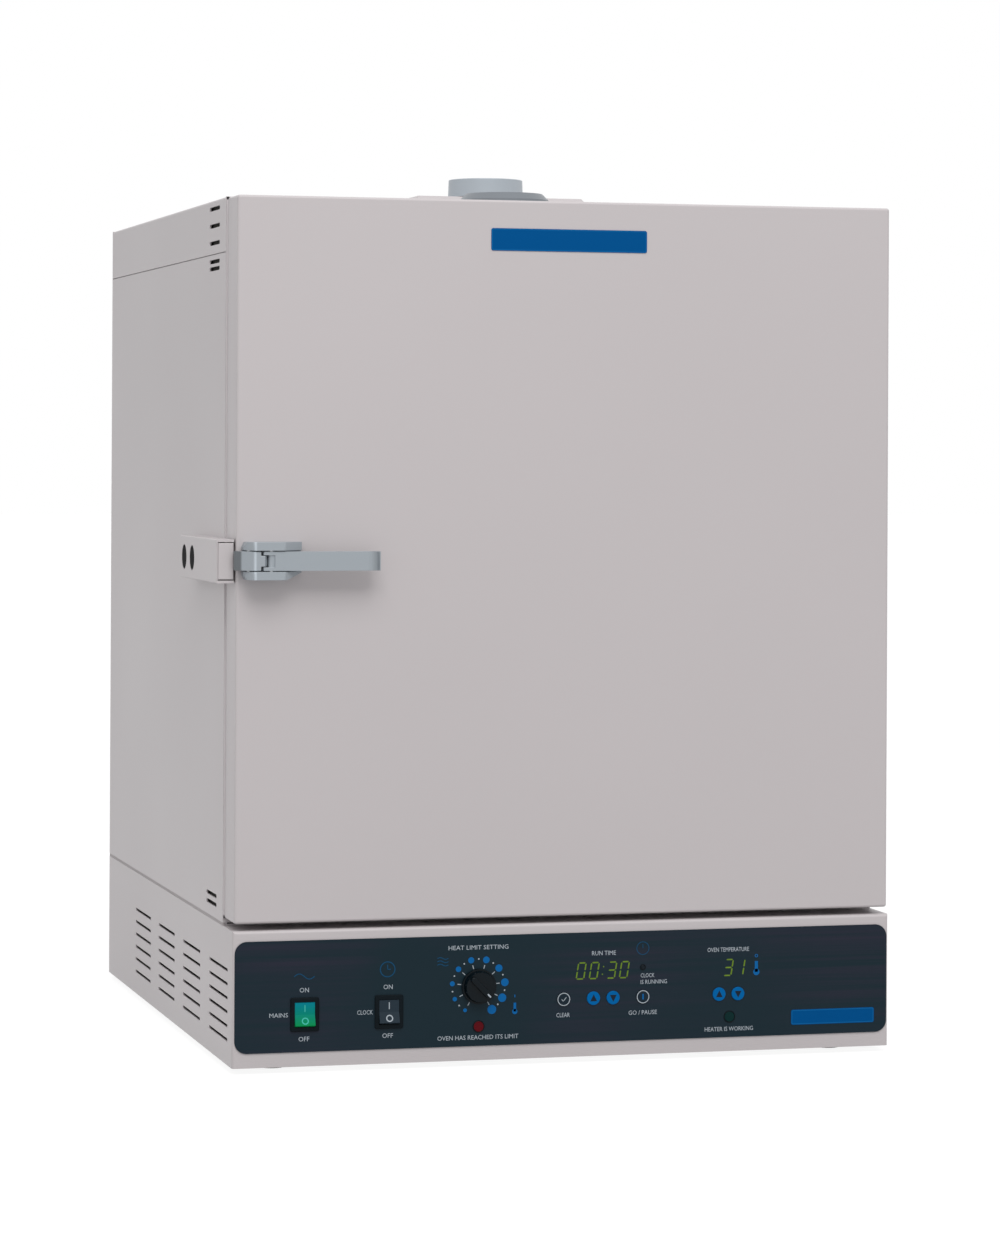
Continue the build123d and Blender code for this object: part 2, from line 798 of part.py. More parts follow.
with BuildPart() as shelf_clips:
    for side in (-1, 1):
        face_x = middle_x + side * (chamber_width / 2 - standard_size[1])
        for y in standard_places_y:
            for row in shelf_slots.values():
                height = slot_heights[row]
                x0, x1 = sorted((face_x, face_x - side * clip_size[0]))
                y0 = y - clip_size[1] / 2
                y1 = y + clip_size[1] / 2
                top = height + standard_slot[1] / 2 - fit
                block_between(x0, x1, y0, y1, top - 2, top)
                x0, x1 = sorted((face_x, face_x - side * 2))
                block_between(x0, x1, y0, y1, top - clip_size[2], top)
                x0, x1 = sorted((face_x, face_x + side * clip_tongue))
                tongue = standard_slot[0] / 2 - fit
                block_between(x0, x1, y - tongue, y + tongue, top - 2, top)
save(shelf_clips, "shelf_clips")

for label, row in shelf_slots.items():
    rod_z = slot_heights[row] + standard_slot[1] / 2 - fit + shelf_rod
    shelf_front = chamber_mid_y - shelf_depth / 2
    shelf_back = chamber_mid_y + shelf_depth / 2
    wire_spread = 2 * (shelf_half - shelf_rod) / (shelf_wires + 1)
    with BuildPart() as shelf:
        left_rod = middle_x - shelf_half + shelf_rod
        right_rod = middle_x + shelf_half - shelf_rod
        with BuildLine() as ring:
            FilletPolyline(
                (left_rod, shelf_front, rod_z),
                (left_rod, shelf_back, rod_z),
                (right_rod, shelf_back, rod_z),
                (right_rod, shelf_front, rod_z),
                radius=shelf_corner,
                close=True,
            )
        ring_wire = ring.wires()[0]
        with BuildSketch(Plane(ring_wire @ 0, z_dir=ring_wire % 0)):
            Circle(shelf_rod)
        sweep(path=ring_wire)
        with BuildSketch(front_plane(shelf_back)):
            with Locations((middle_x, rod_z + shelf_rod)):
                with GridLocations(wire_spread, 1, shelf_wires, 1):
                    Circle(shelf_wire)
        extrude(amount=shelf_depth)
        with BuildSketch(Plane.YZ.offset(left_rod)):
            with Locations((chamber_mid_y, rod_z)):
                Circle(shelf_rod - 0.5)
        extrude(amount=right_rod - left_rod)
    save(shelf, label)

# Temperature probe: a thin steel rod through the rear wall.
probe_reach = 110

with BuildPart() as temperature_probe:
    with BuildSketch(front_plane(blanket_back + 10)):
        with Locations(probe_place):
            Circle(probe_radius)
    extrude(amount=blanket_back + 10 - chamber_back + probe_reach)
    fillet(temperature_probe.faces().sort_by(Axis.Y)[0].edges(), radius=1.5)
    with BuildSketch(front_plane(blanket_back)):
        with Locations(probe_place):
            Circle(probe_radius + 4)
    extrude(amount=-6)
save(temperature_probe, "temperature_probe")

# Over-temperature bulb: its capillary runs down the rear duct and under the cabinet
# floor to the thermostat behind the panel.
bulb_reach = 90
capillary_bend = 12
capillary_low = base_top - 12

with BuildPart() as overtemp_bulb:
    with BuildSketch(front_plane(chamber_back + 20)):
        with Locations(bulb_place):
            Circle(bulb_radius)
    extrude(amount=20 + bulb_reach)
    fillet(overtemp_bulb.faces().sort_by(Axis.Y)[0].edges(), radius=2)
    bulb_x, bulb_z = bulb_place
    with BuildLine() as capillary:
        FilletPolyline(
            (bulb_x, chamber_back + 15, bulb_z),
            (bulb_x, duct_y, bulb_z),
            (bulb_x, duct_y, capillary_low),
            (bulb_x, panel_back + 60, capillary_low),
            (knob_x, panel_back + 60, capillary_low),
            (knob_x, panel_back + 60, knob_z),
            (knob_x, panel_back + thermostat_size[2], knob_z),
            radius=capillary_bend,
        )
    with BuildSketch(Plane((bulb_x, chamber_back + 15, bulb_z), z_dir=(0, 1, 0))):
        Circle(capillary_radius)
    sweep(path=capillary.wires()[0])
save(overtemp_bulb, "overtemp_bulb")

# Exhaust tube from the chamber's roof, and the port tube beside it.
vent_rise = 19
pan_roof = cabinet_top + vent_rise

with BuildPart() as exhaust_tube:
    with BuildSketch(Plane.XY.offset(chamber_roof + liner)):
        with Locations((middle_x, vent_y)):
            Circle(vent_bore)
            Circle(vent_bore - sheet, mode=Mode.SUBTRACT)
    extrude(amount=pan_roof - sheet - chamber_roof - liner)
save(exhaust_tube, "exhaust_tube")

with BuildPart() as port_tube:
    with BuildSketch(Plane.XY.offset(chamber_roof + liner)):
        with Locations((port_x, port_y)):
            Circle(port_bore)
            Circle(port_bore - sheet, mode=Mode.SUBTRACT)
    extrude(amount=cabinet_top + 3 - chamber_roof - liner)
save(port_tube, "port_tube")

# Vent pan: a shallow painted pan on the roof, with bevelled edges.
pan_size = (186, 134)
pan_bevel = 5
pan_corner = 7
ring_radius = 29
ring_thickness = 3
stud_size = 3
stud_rise = 13.5
shutter_radius = 22

with BuildPart() as vent_pan:
    with BuildSketch(Plane.XY.offset(cabinet_top)):
        with Locations((middle_x, vent_y)):
            RectangleRounded(*pan_size, pan_corner)
    extrude(amount=vent_rise)
    chamfer(vent_pan.faces().sort_by(Axis.Z)[-1].edges(), length=pan_bevel)
    for wall, height in ((sheet, vent_rise - pan_bevel), (sheet + pan_bevel, vent_rise - sheet)):
        with BuildSketch(Plane.XY.offset(cabinet_top)):
            with Locations((middle_x, vent_y)):
                Rectangle(pan_size[0] - 2 * wall, pan_size[1] - 2 * wall)
        extrude(amount=height, mode=Mode.SUBTRACT)
    with BuildSketch(Plane.XY.offset(pan_roof + 1)):
        with Locations((middle_x, vent_y)):
            Circle(vent_bore - sheet)
    extrude(amount=-(sheet + 2), mode=Mode.SUBTRACT)
save(vent_pan, "vent_pan")

# Shutter ring: a fixed disc with two quarter openings and the stud that the cap turns on.
roof_centre = Plane((middle_x, vent_y, 0))


def quarter_openings(radius, hub):
    """Two opposite quarters of a disc, less a round hub, as a sketch on the open plane."""
    Circle(radius)
    Rectangle(radius, radius, align=(Align.MIN, Align.MAX), mode=Mode.SUBTRACT)
    Rectangle(radius, radius, align=(Align.MAX, Align.MIN), mode=Mode.SUBTRACT)
    Circle(hub, mode=Mode.SUBTRACT)


with BuildPart() as shutter_ring:
    with BuildSketch(roof_centre.offset(pan_roof)):
        Circle(ring_radius)
    extrude(amount=ring_thickness)
    with BuildSketch(roof_centre.offset(pan_roof - 1)):
        quarter_openings(shutter_radius, 2 * stud_size)
    extrude(amount=ring_thickness + 2, mode=Mode.SUBTRACT)
    with BuildSketch(roof_centre.offset(pan_roof + ring_thickness)):
        Circle(stud_size)
    extrude(amount=stud_rise)
save(shutter_ring, "shutter_ring")

# Vent cap: a round cap with a shutter disc inside it, turned by hand.
cap_radius = 39.5
cap_draft = 0.6
cap_gap = 3
cap_rise = 21.5
cap_wall = 1.5
cap_roof = 3
hub_radius = 8
disc_radius = 27
disc_thickness = 2

with BuildPart() as vent_cap:
    disc_low = pan_roof + ring_thickness + fit
    cap_low = pan_roof + cap_gap
    cap_high = pan_roof + cap_rise
    bore_high = pan_roof + ring_thickness + stud_rise + fit
    with BuildSketch(Plane((middle_x, vent_y, 0), x_dir=(1, 0, 0), z_dir=(0, -1, 0))):
        with BuildLine():
            Polyline(
                (stud_size + running, disc_low),
                (disc_radius, disc_low),
                (disc_radius, disc_low + disc_thickness),
                (hub_radius, disc_low + disc_thickness),
                (hub_radius, cap_high - cap_roof),
                (cap_radius - cap_draft - cap_wall, cap_high - cap_roof),
                (cap_radius - cap_wall, cap_low),
                (cap_radius, cap_low),
                (cap_radius - cap_draft, cap_high),
                (0, cap_high),
                (0, bore_high),
                (stud_size + running, bore_high),
                close=True,
            )
        make_face()
    revolve(axis=Axis((middle_x, vent_y, 0), (0, 0, 1)))
    fillet(vent_cap.faces().sort_by(Axis.Z)[-1].edges(), radius=1)
    with BuildSketch(roof_centre.offset(disc_low - 1)):
        quarter_openings(shutter_radius, hub_radius)
    extrude(amount=disc_thickness + 2, mode=Mode.SUBTRACT)
save(vent_cap, "vent_cap")

# Port cover: a dark conical cover over the thermometer port in front of the vent.
cover_base_radius = 46
cover_top_radius = 39.5
cover_rise = 18.5
cover_cone = 6.5
cover_wall = 1.5

with BuildPart() as port_cover:
    low = cabinet_top
    high = cabinet_top + cover_rise
    with BuildSketch(Plane((port_x, port_y, 0), x_dir=(1, 0, 0), z_dir=(0, -1, 0))):
        with BuildLine():
            Polyline(
                (cover_base_radius - cover_wall, low),
                (cover_base_radius, low),
                (cover_base_radius, high - cover_cone),
                (cover_top_radius, high),
                (0, high),
                (0, high - cover_wall),
                (cover_top_radius - cover_wall / 2, high - cover_wall),
                (cover_base_radius - cover_wall, high - cover_cone - cover_wall / 2),
                close=True,
            )
        make_face()
    revolve(axis=Axis((port_x, port_y, 0), (0, 0, 1)))
save(port_cover, "port_cover")

# Strike: a painted channel on the left side that reaches forward beside the door,
# with a front plate in its open end and two dark plugs over its screws.
strike_height = 42
latch_drop = 1.3
strike_drop = 0.7
latch_mid_z = (door_bottom + door_top) / 2 - latch_drop
strike_mid_z = latch_mid_z - strike_drop
strike_front = front_y + 2
strike_length = 191
strike_wall = 1.2
plate_height = 35
plate_thickness = 8
plate_gap = 0.9
plug_radius = 12
plug_places = (strike_front + 128, strike_front + 170)
plug_depth = 4
plug_edge = 0.5
strike_cavity = 60
strike_left = left_x - strike_standoff
strike_back = strike_front + strike_length

with BuildPart() as strike_housing:
    strike_low = strike_mid_z - strike_height / 2
    strike_high = strike_mid_z + strike_height / 2
    block_between(strike_left, left_x, strike_front, strike_back, strike_low, strike_high)
    outer_edges = strike_housing.faces().sort_by(Axis.X)[0].edges()
    fillet(outer_edges, radius=1.2)
    block_between(
        strike_left + strike_wall,
        left_x + 1,
        strike_front - 1,
        strike_front + strike_cavity,
        strike_mid_z - plate_height / 2 - plate_gap,
        strike_mid_z + plate_height / 2 + plate_gap,
        mode=Mode.SUBTRACT,
    )
    with BuildSketch(Plane.YZ.offset(strike_left - 1)):
        with Locations(*[(y, strike_mid_z) for y in plug_places]):
            Circle(plug_radius + fit)
    extrude(amount=plug_depth + 1, mode=Mode.SUBTRACT)
save(strike_housing, "strike_housing")

with BuildPart() as strike_plugs:
    with BuildSketch(Plane.YZ.offset(strike_left)):
        with Locations(*[(y, strike_mid_z) for y in plug_places]):
            Circle(plug_radius)
    extrude(amount=plug_depth)
    chamfer(strike_plugs.edges().group_by(Axis.X)[0], length=plug_edge)
save(strike_plugs, "strike_plugs")

with BuildPart() as strike_plate:
    plate_right = left_x - fit
    plate_left = strike_left + strike_wall + fit
    plate_low = strike_mid_z - plate_height / 2
    plate_high = strike_mid_z + plate_height / 2
    block_between(
        plate_left, plate_right, strike_front, strike_front + plate_thickness, plate_low, plate_high
    )
    fillet(strike_plate.faces().sort_by(Axis.Y)[0].edges(), radius=1)
    block_between(
        plate_left + 3,
        plate_right - 3,
        strike_front + plate_thickness,
        strike_front + strike_cavity,
        strike_mid_z - 10,
        strike_mid_z + 10,
    )
save(strike_plate, "strike_plate")

# Hinges: two lift-off pairs on the right side, with the pin on the cabinet's half.
hinge_x = right_x + hinge_offset
hinge_y = door_back + door_seam / 2
hinge_heights = (base_top + 120, cabinet_top - 120)
knuckle_length = 32
hinge_pin_radius = 3
leaf = 2.5
leaf_length = 34
leaf_height = 2 * knuckle_length
lift_gap = 0.3

leaf_start = hinge_y + knuckle_radius + lift_gap

with BuildPart() as cabinet_hinges:
    for height in hinge_heights:
        low = height - knuckle_length
        with BuildSketch(Plane.XY.offset(low)):
            with Locations((hinge_x, hinge_y)):
                Circle(knuckle_radius)
            rectangle_between(right_x, hinge_x, hinge_y, leaf_start)
        extrude(amount=knuckle_length)
        with BuildSketch(Plane.XY.offset(low)):
            rectangle_between(right_x, right_x + leaf, leaf_start, leaf_start + leaf_length)
        extrude(amount=leaf_height)
        with BuildSketch(Plane.XY.offset(low + knuckle_length)):
            with Locations((hinge_x, hinge_y)):
                Circle(hinge_pin_radius)
        extrude(amount=knuckle_length - 2)
save(cabinet_hinges, "cabinet_hinges")

with BuildPart() as door_hinges:
    for height in hinge_heights:
        low = height + lift_gap
        with BuildSketch(Plane.XY.offset(low)):
            with Locations((hinge_x, hinge_y)):
                Circle(knuckle_radius)
            rectangle_between(door_right, hinge_x, door_back - leaf, hinge_y)
            with Locations((hinge_x, hinge_y)):
                Circle(hinge_pin_radius + running, mode=Mode.SUBTRACT)
        extrude(amount=knuckle_length - lift_gap)
        with BuildSketch(Plane.XY.offset(low - knuckle_length)):
            rectangle_between(door_right, door_right + leaf, door_back - leaf_length, door_back)
        extrude(amount=leaf_height - lift_gap)
save(door_hinges, "door_hinges")

# Door: a deep painted shell, a stainless inner pan with a raised plug, insulation
# between them, and a gasket round the plug. The shell's edges reach back past the pan
# and hide most of the seam round the door.
plug_margin = 12
plug_height = 16
plug_corner = 18
gasket_width = 14
gasket_gap = 0.4

with BuildPart() as door_shell:
    shell_back = door_back + door_skirt
    block_between(door_left, door_right, front_y, shell_back, door_bottom, door_top)
    upright_edges = door_shell.edges().filter_by(Axis.Z)
    fillet(upright_edges.group_by(Axis.Y)[0], radius=edge_radius)
    fillet(door_shell.faces().sort_by(Axis.Y)[0].edges(), radius=edge_radius - 0.5)
    offset(amount=-sheet, openings=door_shell.faces().sort_by(Axis.Y)[-1])
save(door_shell, "door_shell")

with BuildPart() as door_inner_pan:
    inner_half = width / 2 - door_inset - sheet - fit
    with BuildSketch(front_plane(door_back)):
        rectangle_between(
            middle_x - inner_half,
            middle_x + inner_half,
            door_bottom + sheet + fit,
            door_top - sheet - fit,
        )
    extrude(amount=sheet)
    with BuildSketch(front_plane(door_back)):
        with Locations((middle_x, chamber_mid_z)):
            RectangleRounded(
                chamber_width - 2 * plug_margin, chamber_height - 2 * plug_margin, plug_corner
            )
    extrude(amount=-(door_seam + plug_height), taper=4)
    fillet(door_inner_pan.faces().sort_by(Axis.Y)[-1].edges(), radius=4)
    with BuildSketch(front_plane(door_back - sheet)):
        with Locations((middle_x, chamber_mid_z)):
            RectangleRounded(
                chamber_width - 2 * plug_margin - 2 * sheet,
                chamber_height - 2 * plug_margin - 2 * sheet,
                plug_corner,
            )
    extrude(amount=-(door_seam + plug_height), taper=4, mode=Mode.SUBTRACT)
save(door_inner_pan, "door_inner_pan")

with BuildPart() as door_insulation:
    with BuildSketch(front_plane(door_back - sheet - fit)):
        rectangle_between(
            middle_x - inner_half + 2,
            middle_x + inner_half - 2,
            door_bottom + sheet + 2,
            door_top - sheet - 2,
        )
    extrude(amount=door_thickness - 2 * sheet - 2 * fit)
    with BuildSketch(front_plane(door_back - sheet - fit)):
        with Locations((middle_x, chamber_mid_z)):
            RectangleRounded(
                chamber_width - 2 * (plug_margin + sheet + fit),
                chamber_height - 2 * (plug_margin + sheet + fit),
                plug_corner,
            )
    extrude(amount=-(door_seam + plug_height - fit), taper=4)
save(door_insulation, "door_insulation")

with BuildPart() as door_gasket:
    with BuildSketch(front_plane(door_back)):
        with Locations((middle_x, chamber_mid_z)):
            RectangleRounded(
                chamber_width + 2 * gasket_width, chamber_height + 2 * gasket_width, plug_corner
            )
            RectangleRounded(chamber_width, chamber_height, plug_corner - 4, mode=Mode.SUBTRACT)
    extrude(amount=-(door_seam - gasket_gap))
save(door_gasket, "door_gasket")

# Latch: a cast bracket with two ears on the door's left edge. The lever turns on the
# right pin. Its notch holds the hook's tab, so that the hook turns on the left pin.
latch_left = left_x + 6.5
latch_right = left_x + 64
ear_gap = 20.2
ear_height = 8
bracket_plate = 3
hook_window = 7
ear_flat = (left_x + 13.5, left_x + 44)
ear_side_depth = (11, 8)
ear_bevel = (2.5, 5)
ear_slope = (18, 7)
lever_pin = (left_x + 31.6, front_y - 20.2)
hook_pin = (left_x + 11.5, front_y - 12)
latch_pin_radius = 2
lever_height = 18.4
lever_thickness = 8.5
lever_front = front_y - latch_reach + 1.5
lever_end = left_x + 138
lever_bevel = 12
lever_scoop = 3.5
lever_lip = 2
lever_tip_radius = 8.8
boss_radius = 3
notch_clear = 0.6
tab_height = 10.4
tab_radius = 18.2
hook_right = left_x + 21.2
hook_slope = 5
hook_height = 18.4

with BuildPart() as latch_bracket:
    bracket_height = ear_gap + 2 * ear_height
    ear_front = front_y - latch_reach
    with BuildSketch(Plane.XY.offset(latch_mid_z - bracket_height / 2)) as ear_outline:
        with BuildLine():
            Polyline(
                (latch_left, front_y),
                (latch_left, front_y - ear_side_depth[0]),
                (ear_flat[0], ear_front),
                (ear_flat[1], ear_front),
                (latch_right, front_y - ear_side_depth[1]),
                (latch_right, front_y),
                close=True,
            )
        make_face()
        blunt = ear_outline.vertices().group_by(Axis.Y)[0]
        fillet(blunt, radius=3)
    extrude(amount=bracket_height)
    bracket_low = latch_mid_z - bracket_height / 2
    bracket_high = latch_mid_z + bracket_height / 2
    with BuildSketch(front_plane(front_y)):
        with BuildLine():
            Polyline(
                (latch_left, bracket_low + ear_bevel[1]),
                (latch_left + ear_bevel[0], bracket_low),
                (latch_right - ear_slope[0], bracket_low),
                (latch_right, bracket_low + ear_slope[1]),
                (latch_right, bracket_high),
                (latch_left + ear_bevel[0], bracket_high),
                (latch_left, bracket_high - ear_bevel[1]),
                close=True,
            )
        make_face()
    extrude(amount=latch_reach, mode=Mode.INTERSECT)
    block_between(
        latch_left - 1,
        latch_right + 1,
        ear_front - 1,
        front_y - bracket_plate,
        latch_mid_z - ear_gap / 2,
        latch_mid_z + ear_gap / 2,
        mode=Mode.SUBTRACT,
    )
    with BuildSketch(Plane.XY.offset(latch_mid_z - bracket_height / 2 - 1)):
        with Locations(lever_pin, hook_pin):
            Circle(latch_pin_radius)
    extrude(amount=bracket_height + 2, mode=Mode.SUBTRACT)
    block_between(
        latch_left - 1,
        left_x + hook_window,
        ear_front - 1,
        front_y + 1,
        latch_mid_z - ear_gap / 2,
        latch_mid_z + ear_gap / 2,
        mode=Mode.SUBTRACT,
    )
save(latch_bracket, "latch_bracket")

with BuildPart() as latch_pins:
    with BuildSketch(Plane.XY.offset(latch_mid_z - bracket_height / 2)):
        with Locations(lever_pin, hook_pin):
            Circle(latch_pin_radius)
    extrude(amount=bracket_height)
save(latch_pins, "latch_pins")

with BuildPart() as latch_lever:
    lever_back = lever_front + lever_thickness
    notch_low = latch_mid_z - tab_height / 2 - notch_clear
    notch_high = latch_mid_z + tab_height / 2 + notch_clear
    with BuildSketch(Plane.XY.offset(latch_mid_z - lever_height / 2)):
        with Locations(lever_pin):
            Circle(lever_tip_radius)
        rectangle_between(
            lever_pin[0] - lever_tip_radius,
            lever_pin[0] + lever_tip_radius,
            lever_front,
            lever_back,
            mode=Mode.INTERSECT,
        )
        with BuildLine():
            Polyline(
                (lever_pin[0], lever_front),
                (lever_end - lever_bevel, lever_front),
                (lever_end - lever_lip, lever_front + lever_scoop),
                (lever_end - lever_lip / 2, lever_front + 1),
                (lever_end, lever_front + 1),
                (lever_end, lever_back),
                (lever_pin[0], lever_back),
                close=True,
            )
        make_face()
    extrude(amount=lever_height)
    block_between(
        left_x,
        lever_pin[0] + boss_radius,
        lever_front - 1,
        lever_back + 1,
        notch_low,
        notch_high,
        mode=Mode.SUBTRACT,
    )
    with BuildSketch(Plane.XY.offset(notch_low)):
        with Locations(lever_pin):
            Circle(boss_radius)
            Rectangle(boss_radius, 2 * boss_radius, align=(Align.MIN, Align.CENTER))
    extrude(amount=notch_high - notch_low)
    with BuildSketch(Plane.XY.offset(latch_mid_z - lever_height / 2 - 1)):
        with Locations(lever_pin):
            Circle(latch_pin_radius + running)
    extrude(amount=lever_height + 2, mode=Mode.SUBTRACT)
save(latch_lever, "latch_lever")

with BuildPart() as latch_hook:
    with BuildSketch(Plane.XY.offset(latch_mid_z - hook_height / 2)):
        with BuildLine():
            Polyline(
                (hook_right, lever_front),
                (left_x + 13.5, lever_front),
                (left_x + 3, front_y - 14),
                (left_x - 1.5, front_y - 7),
                (left_x - 1.5, front_y - 0.5),
                (left_x + 2.5, front_y - 0.5),
                (left_x + 5, front_y - 5),
                (hook_right - hook_slope, front_y - 8),
                (hook_right, lever_front + 2),
                close=True,
            )
        make_face()
    extrude(amount=hook_height)
    with BuildSketch(Plane.XY.offset(latch_mid_z - tab_height / 2)):
        with Locations(hook_pin):
            Circle(tab_radius)
        rectangle_between(
            hook_pin[0] + latch_pin_radius + 2,
            hook_pin[0] + tab_radius,
            lever_front,
            lever_back,
            mode=Mode.INTERSECT,
        )
    extrude(amount=tab_height)
    with BuildSketch(Plane.XY.offset(latch_mid_z - hook_height / 2 - 1)):
        with Locations(hook_pin):
            Circle(latch_pin_radius + running)
    extrude(amount=hook_height + 2, mode=Mode.SUBTRACT)
save(latch_hook, "latch_hook")
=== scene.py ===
import math
import bpy
from mathutils import Matrix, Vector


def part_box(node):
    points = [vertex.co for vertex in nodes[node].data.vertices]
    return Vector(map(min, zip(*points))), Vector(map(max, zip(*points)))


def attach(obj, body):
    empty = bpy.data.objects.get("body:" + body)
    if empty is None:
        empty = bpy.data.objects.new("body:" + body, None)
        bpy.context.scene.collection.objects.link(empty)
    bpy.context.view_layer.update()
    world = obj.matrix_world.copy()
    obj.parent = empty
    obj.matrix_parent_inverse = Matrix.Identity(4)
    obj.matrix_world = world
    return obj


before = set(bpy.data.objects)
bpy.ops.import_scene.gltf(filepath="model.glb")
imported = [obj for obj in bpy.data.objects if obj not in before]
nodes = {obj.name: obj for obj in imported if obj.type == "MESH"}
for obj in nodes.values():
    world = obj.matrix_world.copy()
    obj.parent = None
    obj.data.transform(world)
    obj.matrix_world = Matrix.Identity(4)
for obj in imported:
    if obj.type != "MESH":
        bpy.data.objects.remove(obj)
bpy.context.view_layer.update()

mm = 0.001

# Camera: a long lens from the left of the oven, about level with the middle of the door.
# The frame is shifted down to hold the whole oven. Places are in metres.
camera_place = (-1.0612, -4.0641, 0.6005)
camera_yaw = math.radians(-14.967)
camera_pitch = math.radians(90.171)
camera_roll = math.radians(0.275)
camera_data = bpy.data.cameras.new("photo_camera")
camera_data.sensor_fit = "VERTICAL"
camera_data.sensor_height = 36
camera_data.lens = 114.01
camera_data.shift_y = -0.1515
camera = bpy.data.objects.new("photo_camera", camera_data)
bpy.context.scene.collection.objects.link(camera)
camera.matrix_world = (
    Matrix.Translation(camera_place)
    @ Matrix.Rotation(camera_yaw, 4, "Z")
    @ Matrix.Rotation(camera_pitch, 4, "X")
    @ Matrix.Rotation(camera_roll, 4, "Z")
)
bpy.context.scene.camera = camera
bpy.context.scene.view_settings.view_transform = "Standard"

# Studio: a pale floor and a white room with one large soft lamp high at the front left.
# The camera and mirrors see them white, and the floor keeps the oven's shadow.
bpy.ops.object.select_all(action="DESELECT")
bpy.ops.mesh.primitive_plane_add(size=60, location=(0, 0, 0))
floor = bpy.context.object
floor.name = "studio_floor"
floor_material = bpy.data.materials.new("pale studio floor")
floor_material.use_nodes = True
floor_nodes = floor_material.node_tree.nodes
floor_links = floor_material.node_tree.links
floor_nodes.clear()
floor_output = floor_nodes.new("ShaderNodeOutputMaterial")
floor_seen = floor_nodes.new("ShaderNodeMixShader")
floor_lift = floor_nodes.new("ShaderNodeMixShader")
floor_matt = floor_nodes.new("ShaderNodeBsdfDiffuse")
floor_matt.inputs["Color"].default_value = (0.5, 0.5, 0.5, 1)
floor_pale = floor_nodes.new("ShaderNodeBsdfDiffuse")
floor_pale.inputs["Color"].default_value = (1, 1, 1, 1)
floor_glow = floor_nodes.new("ShaderNodeEmission")
floor_glow.inputs["Strength"].default_value = 1.1
floor_lift.inputs["Fac"].default_value = 0.8
floor_ray = floor_nodes.new("ShaderNodeLightPath")
floor_either = floor_nodes.new("ShaderNodeMath")
floor_either.operation = "MAXIMUM"
floor_links.new(floor_ray.outputs["Is Camera Ray"], floor_either.inputs[0])
floor_links.new(floor_ray.outputs["Is Glossy Ray"], floor_either.inputs[1])
floor_links.new(floor_pale.outputs[0], floor_lift.inputs[1])
floor_links.new(floor_glow.outputs[0], floor_lift.inputs[2])
floor_links.new(floor_either.outputs[0], floor_seen.inputs["Fac"])
floor_links.new(floor_matt.outputs[0], floor_seen.inputs[1])
floor_links.new(floor_lift.outputs[0], floor_seen.inputs[2])
floor_links.new(floor_seen.outputs[0], floor_output.inputs["Surface"])
floor.data.materials.append(floor_material)

room = bpy.data.worlds.new("white room")
bpy.context.scene.world = room
room.use_nodes = True
room_nodes = room.node_tree.nodes
room_links = room.node_tree.links
room_nodes.clear()
room_output = room_nodes.new("ShaderNodeOutputWorld")
room_mix = room_nodes.new("ShaderNodeMixShader")
room_fill = room_nodes.new("ShaderNodeBackground")
room_fill.inputs["Color"].default_value = (0.985, 0.975, 0.99, 1)
room_fill.inputs["Strength"].default_value = 0.67
room_white = room_nodes.new("ShaderNodeBackground")
room_white.inputs["Color"].default_value = (1, 1, 1, 1)
room_white.inputs["Strength"].default_value = 1
room_ray = room_nodes.new("ShaderNodeLightPath")
room_either = room_nodes.new("ShaderNodeMath")
room_either.operation = "MAXIMUM"
room_links.new(room_ray.outputs["Is Camera Ray"], room_either.inputs[0])
room_links.new(room_ray.outputs["Is Glossy Ray"], room_either.inputs[1])
room_links.new(room_either.outputs[0], room_mix.inputs["Fac"])
room_links.new(room_fill.outputs[0], room_mix.inputs[1])
room_links.new(room_white.outputs[0], room_mix.inputs[2])
room_links.new(room_mix.outputs[0], room_output.inputs["Surface"])

lamp_data = bpy.data.lights.new("soft_box", "AREA")
lamp_data.shape = "RECTANGLE"
lamp_data.size = 3.2
lamp_data.size_y = 2.4
lamp_data.energy = 105
lamp_data.color = (1, 0.98, 0.97)
lamp = bpy.data.objects.new("soft_box", lamp_data)
bpy.context.scene.collection.objects.link(lamp)
lamp.matrix_world = (
    Matrix.Translation((-0.4, -3.1, 3.9))
    @ Matrix.Rotation(math.radians(-8), 4, "Z")
    @ Matrix.Rotation(math.radians(42), 4, "X")
)

# Painted steel: the base shell, cabinet with its front frame, top cover, back panel,
# door shell, vent pan and strike are folded sheet with a baked light grey powder coat.
# The coat has a fine orange peel and drifts a little in tone over the large faces.


def colour(red, green, blue):
    """A colour of 0 to 255 a channel, as the shaders read it."""
    channels = [value / 255 for value in (red, green, blue)]
    return [c / 12.92 if c < 0.04045 else ((c + 0.055) / 1.055) ** 2.4 for c in channels] + [1.0]


def new_group(name, inputs, outputs):
    """A shader node group with its sockets, and its own input and output nodes."""
    tree = bpy.data.node_groups.new(name, "ShaderNodeTree")
    for socket, kind, value in inputs:
        made = tree.interface.new_socket(socket, in_out="INPUT", socket_type=kind)
        made.default_value = value
    for socket, kind in outputs:
        tree.interface.new_socket(socket, in_out="OUTPUT", socket_type=kind)
    return tree, tree.nodes.new("NodeGroupInput"), tree.nodes.new("NodeGroupOutput")


def add_math(tree, operation, first, second, third=0.0):
    """A Math node whose inputs are sockets or numbers."""
    node = tree.nodes.new("ShaderNodeMath")
    node.operation = operation
    for index, value in enumerate((first, second, third)):
        if isinstance(value, bpy.types.NodeSocket):
            tree.links.new(value, node.inputs[index])
        else:
            node.inputs[index].default_value = value
    return node.outputs[0]


def send_tint(tree, tone, value, goal):
    """Sends a colour, made lighter or darker by a value, to a socket."""
    tint = tree.nodes.new("ShaderNodeHueSaturation")
    tree.links.new(value, tint.inputs["Value"])
    tree.links.new(tone, tint.inputs["Color"])
    tree.links.new(tint.outputs["Color"], goal)


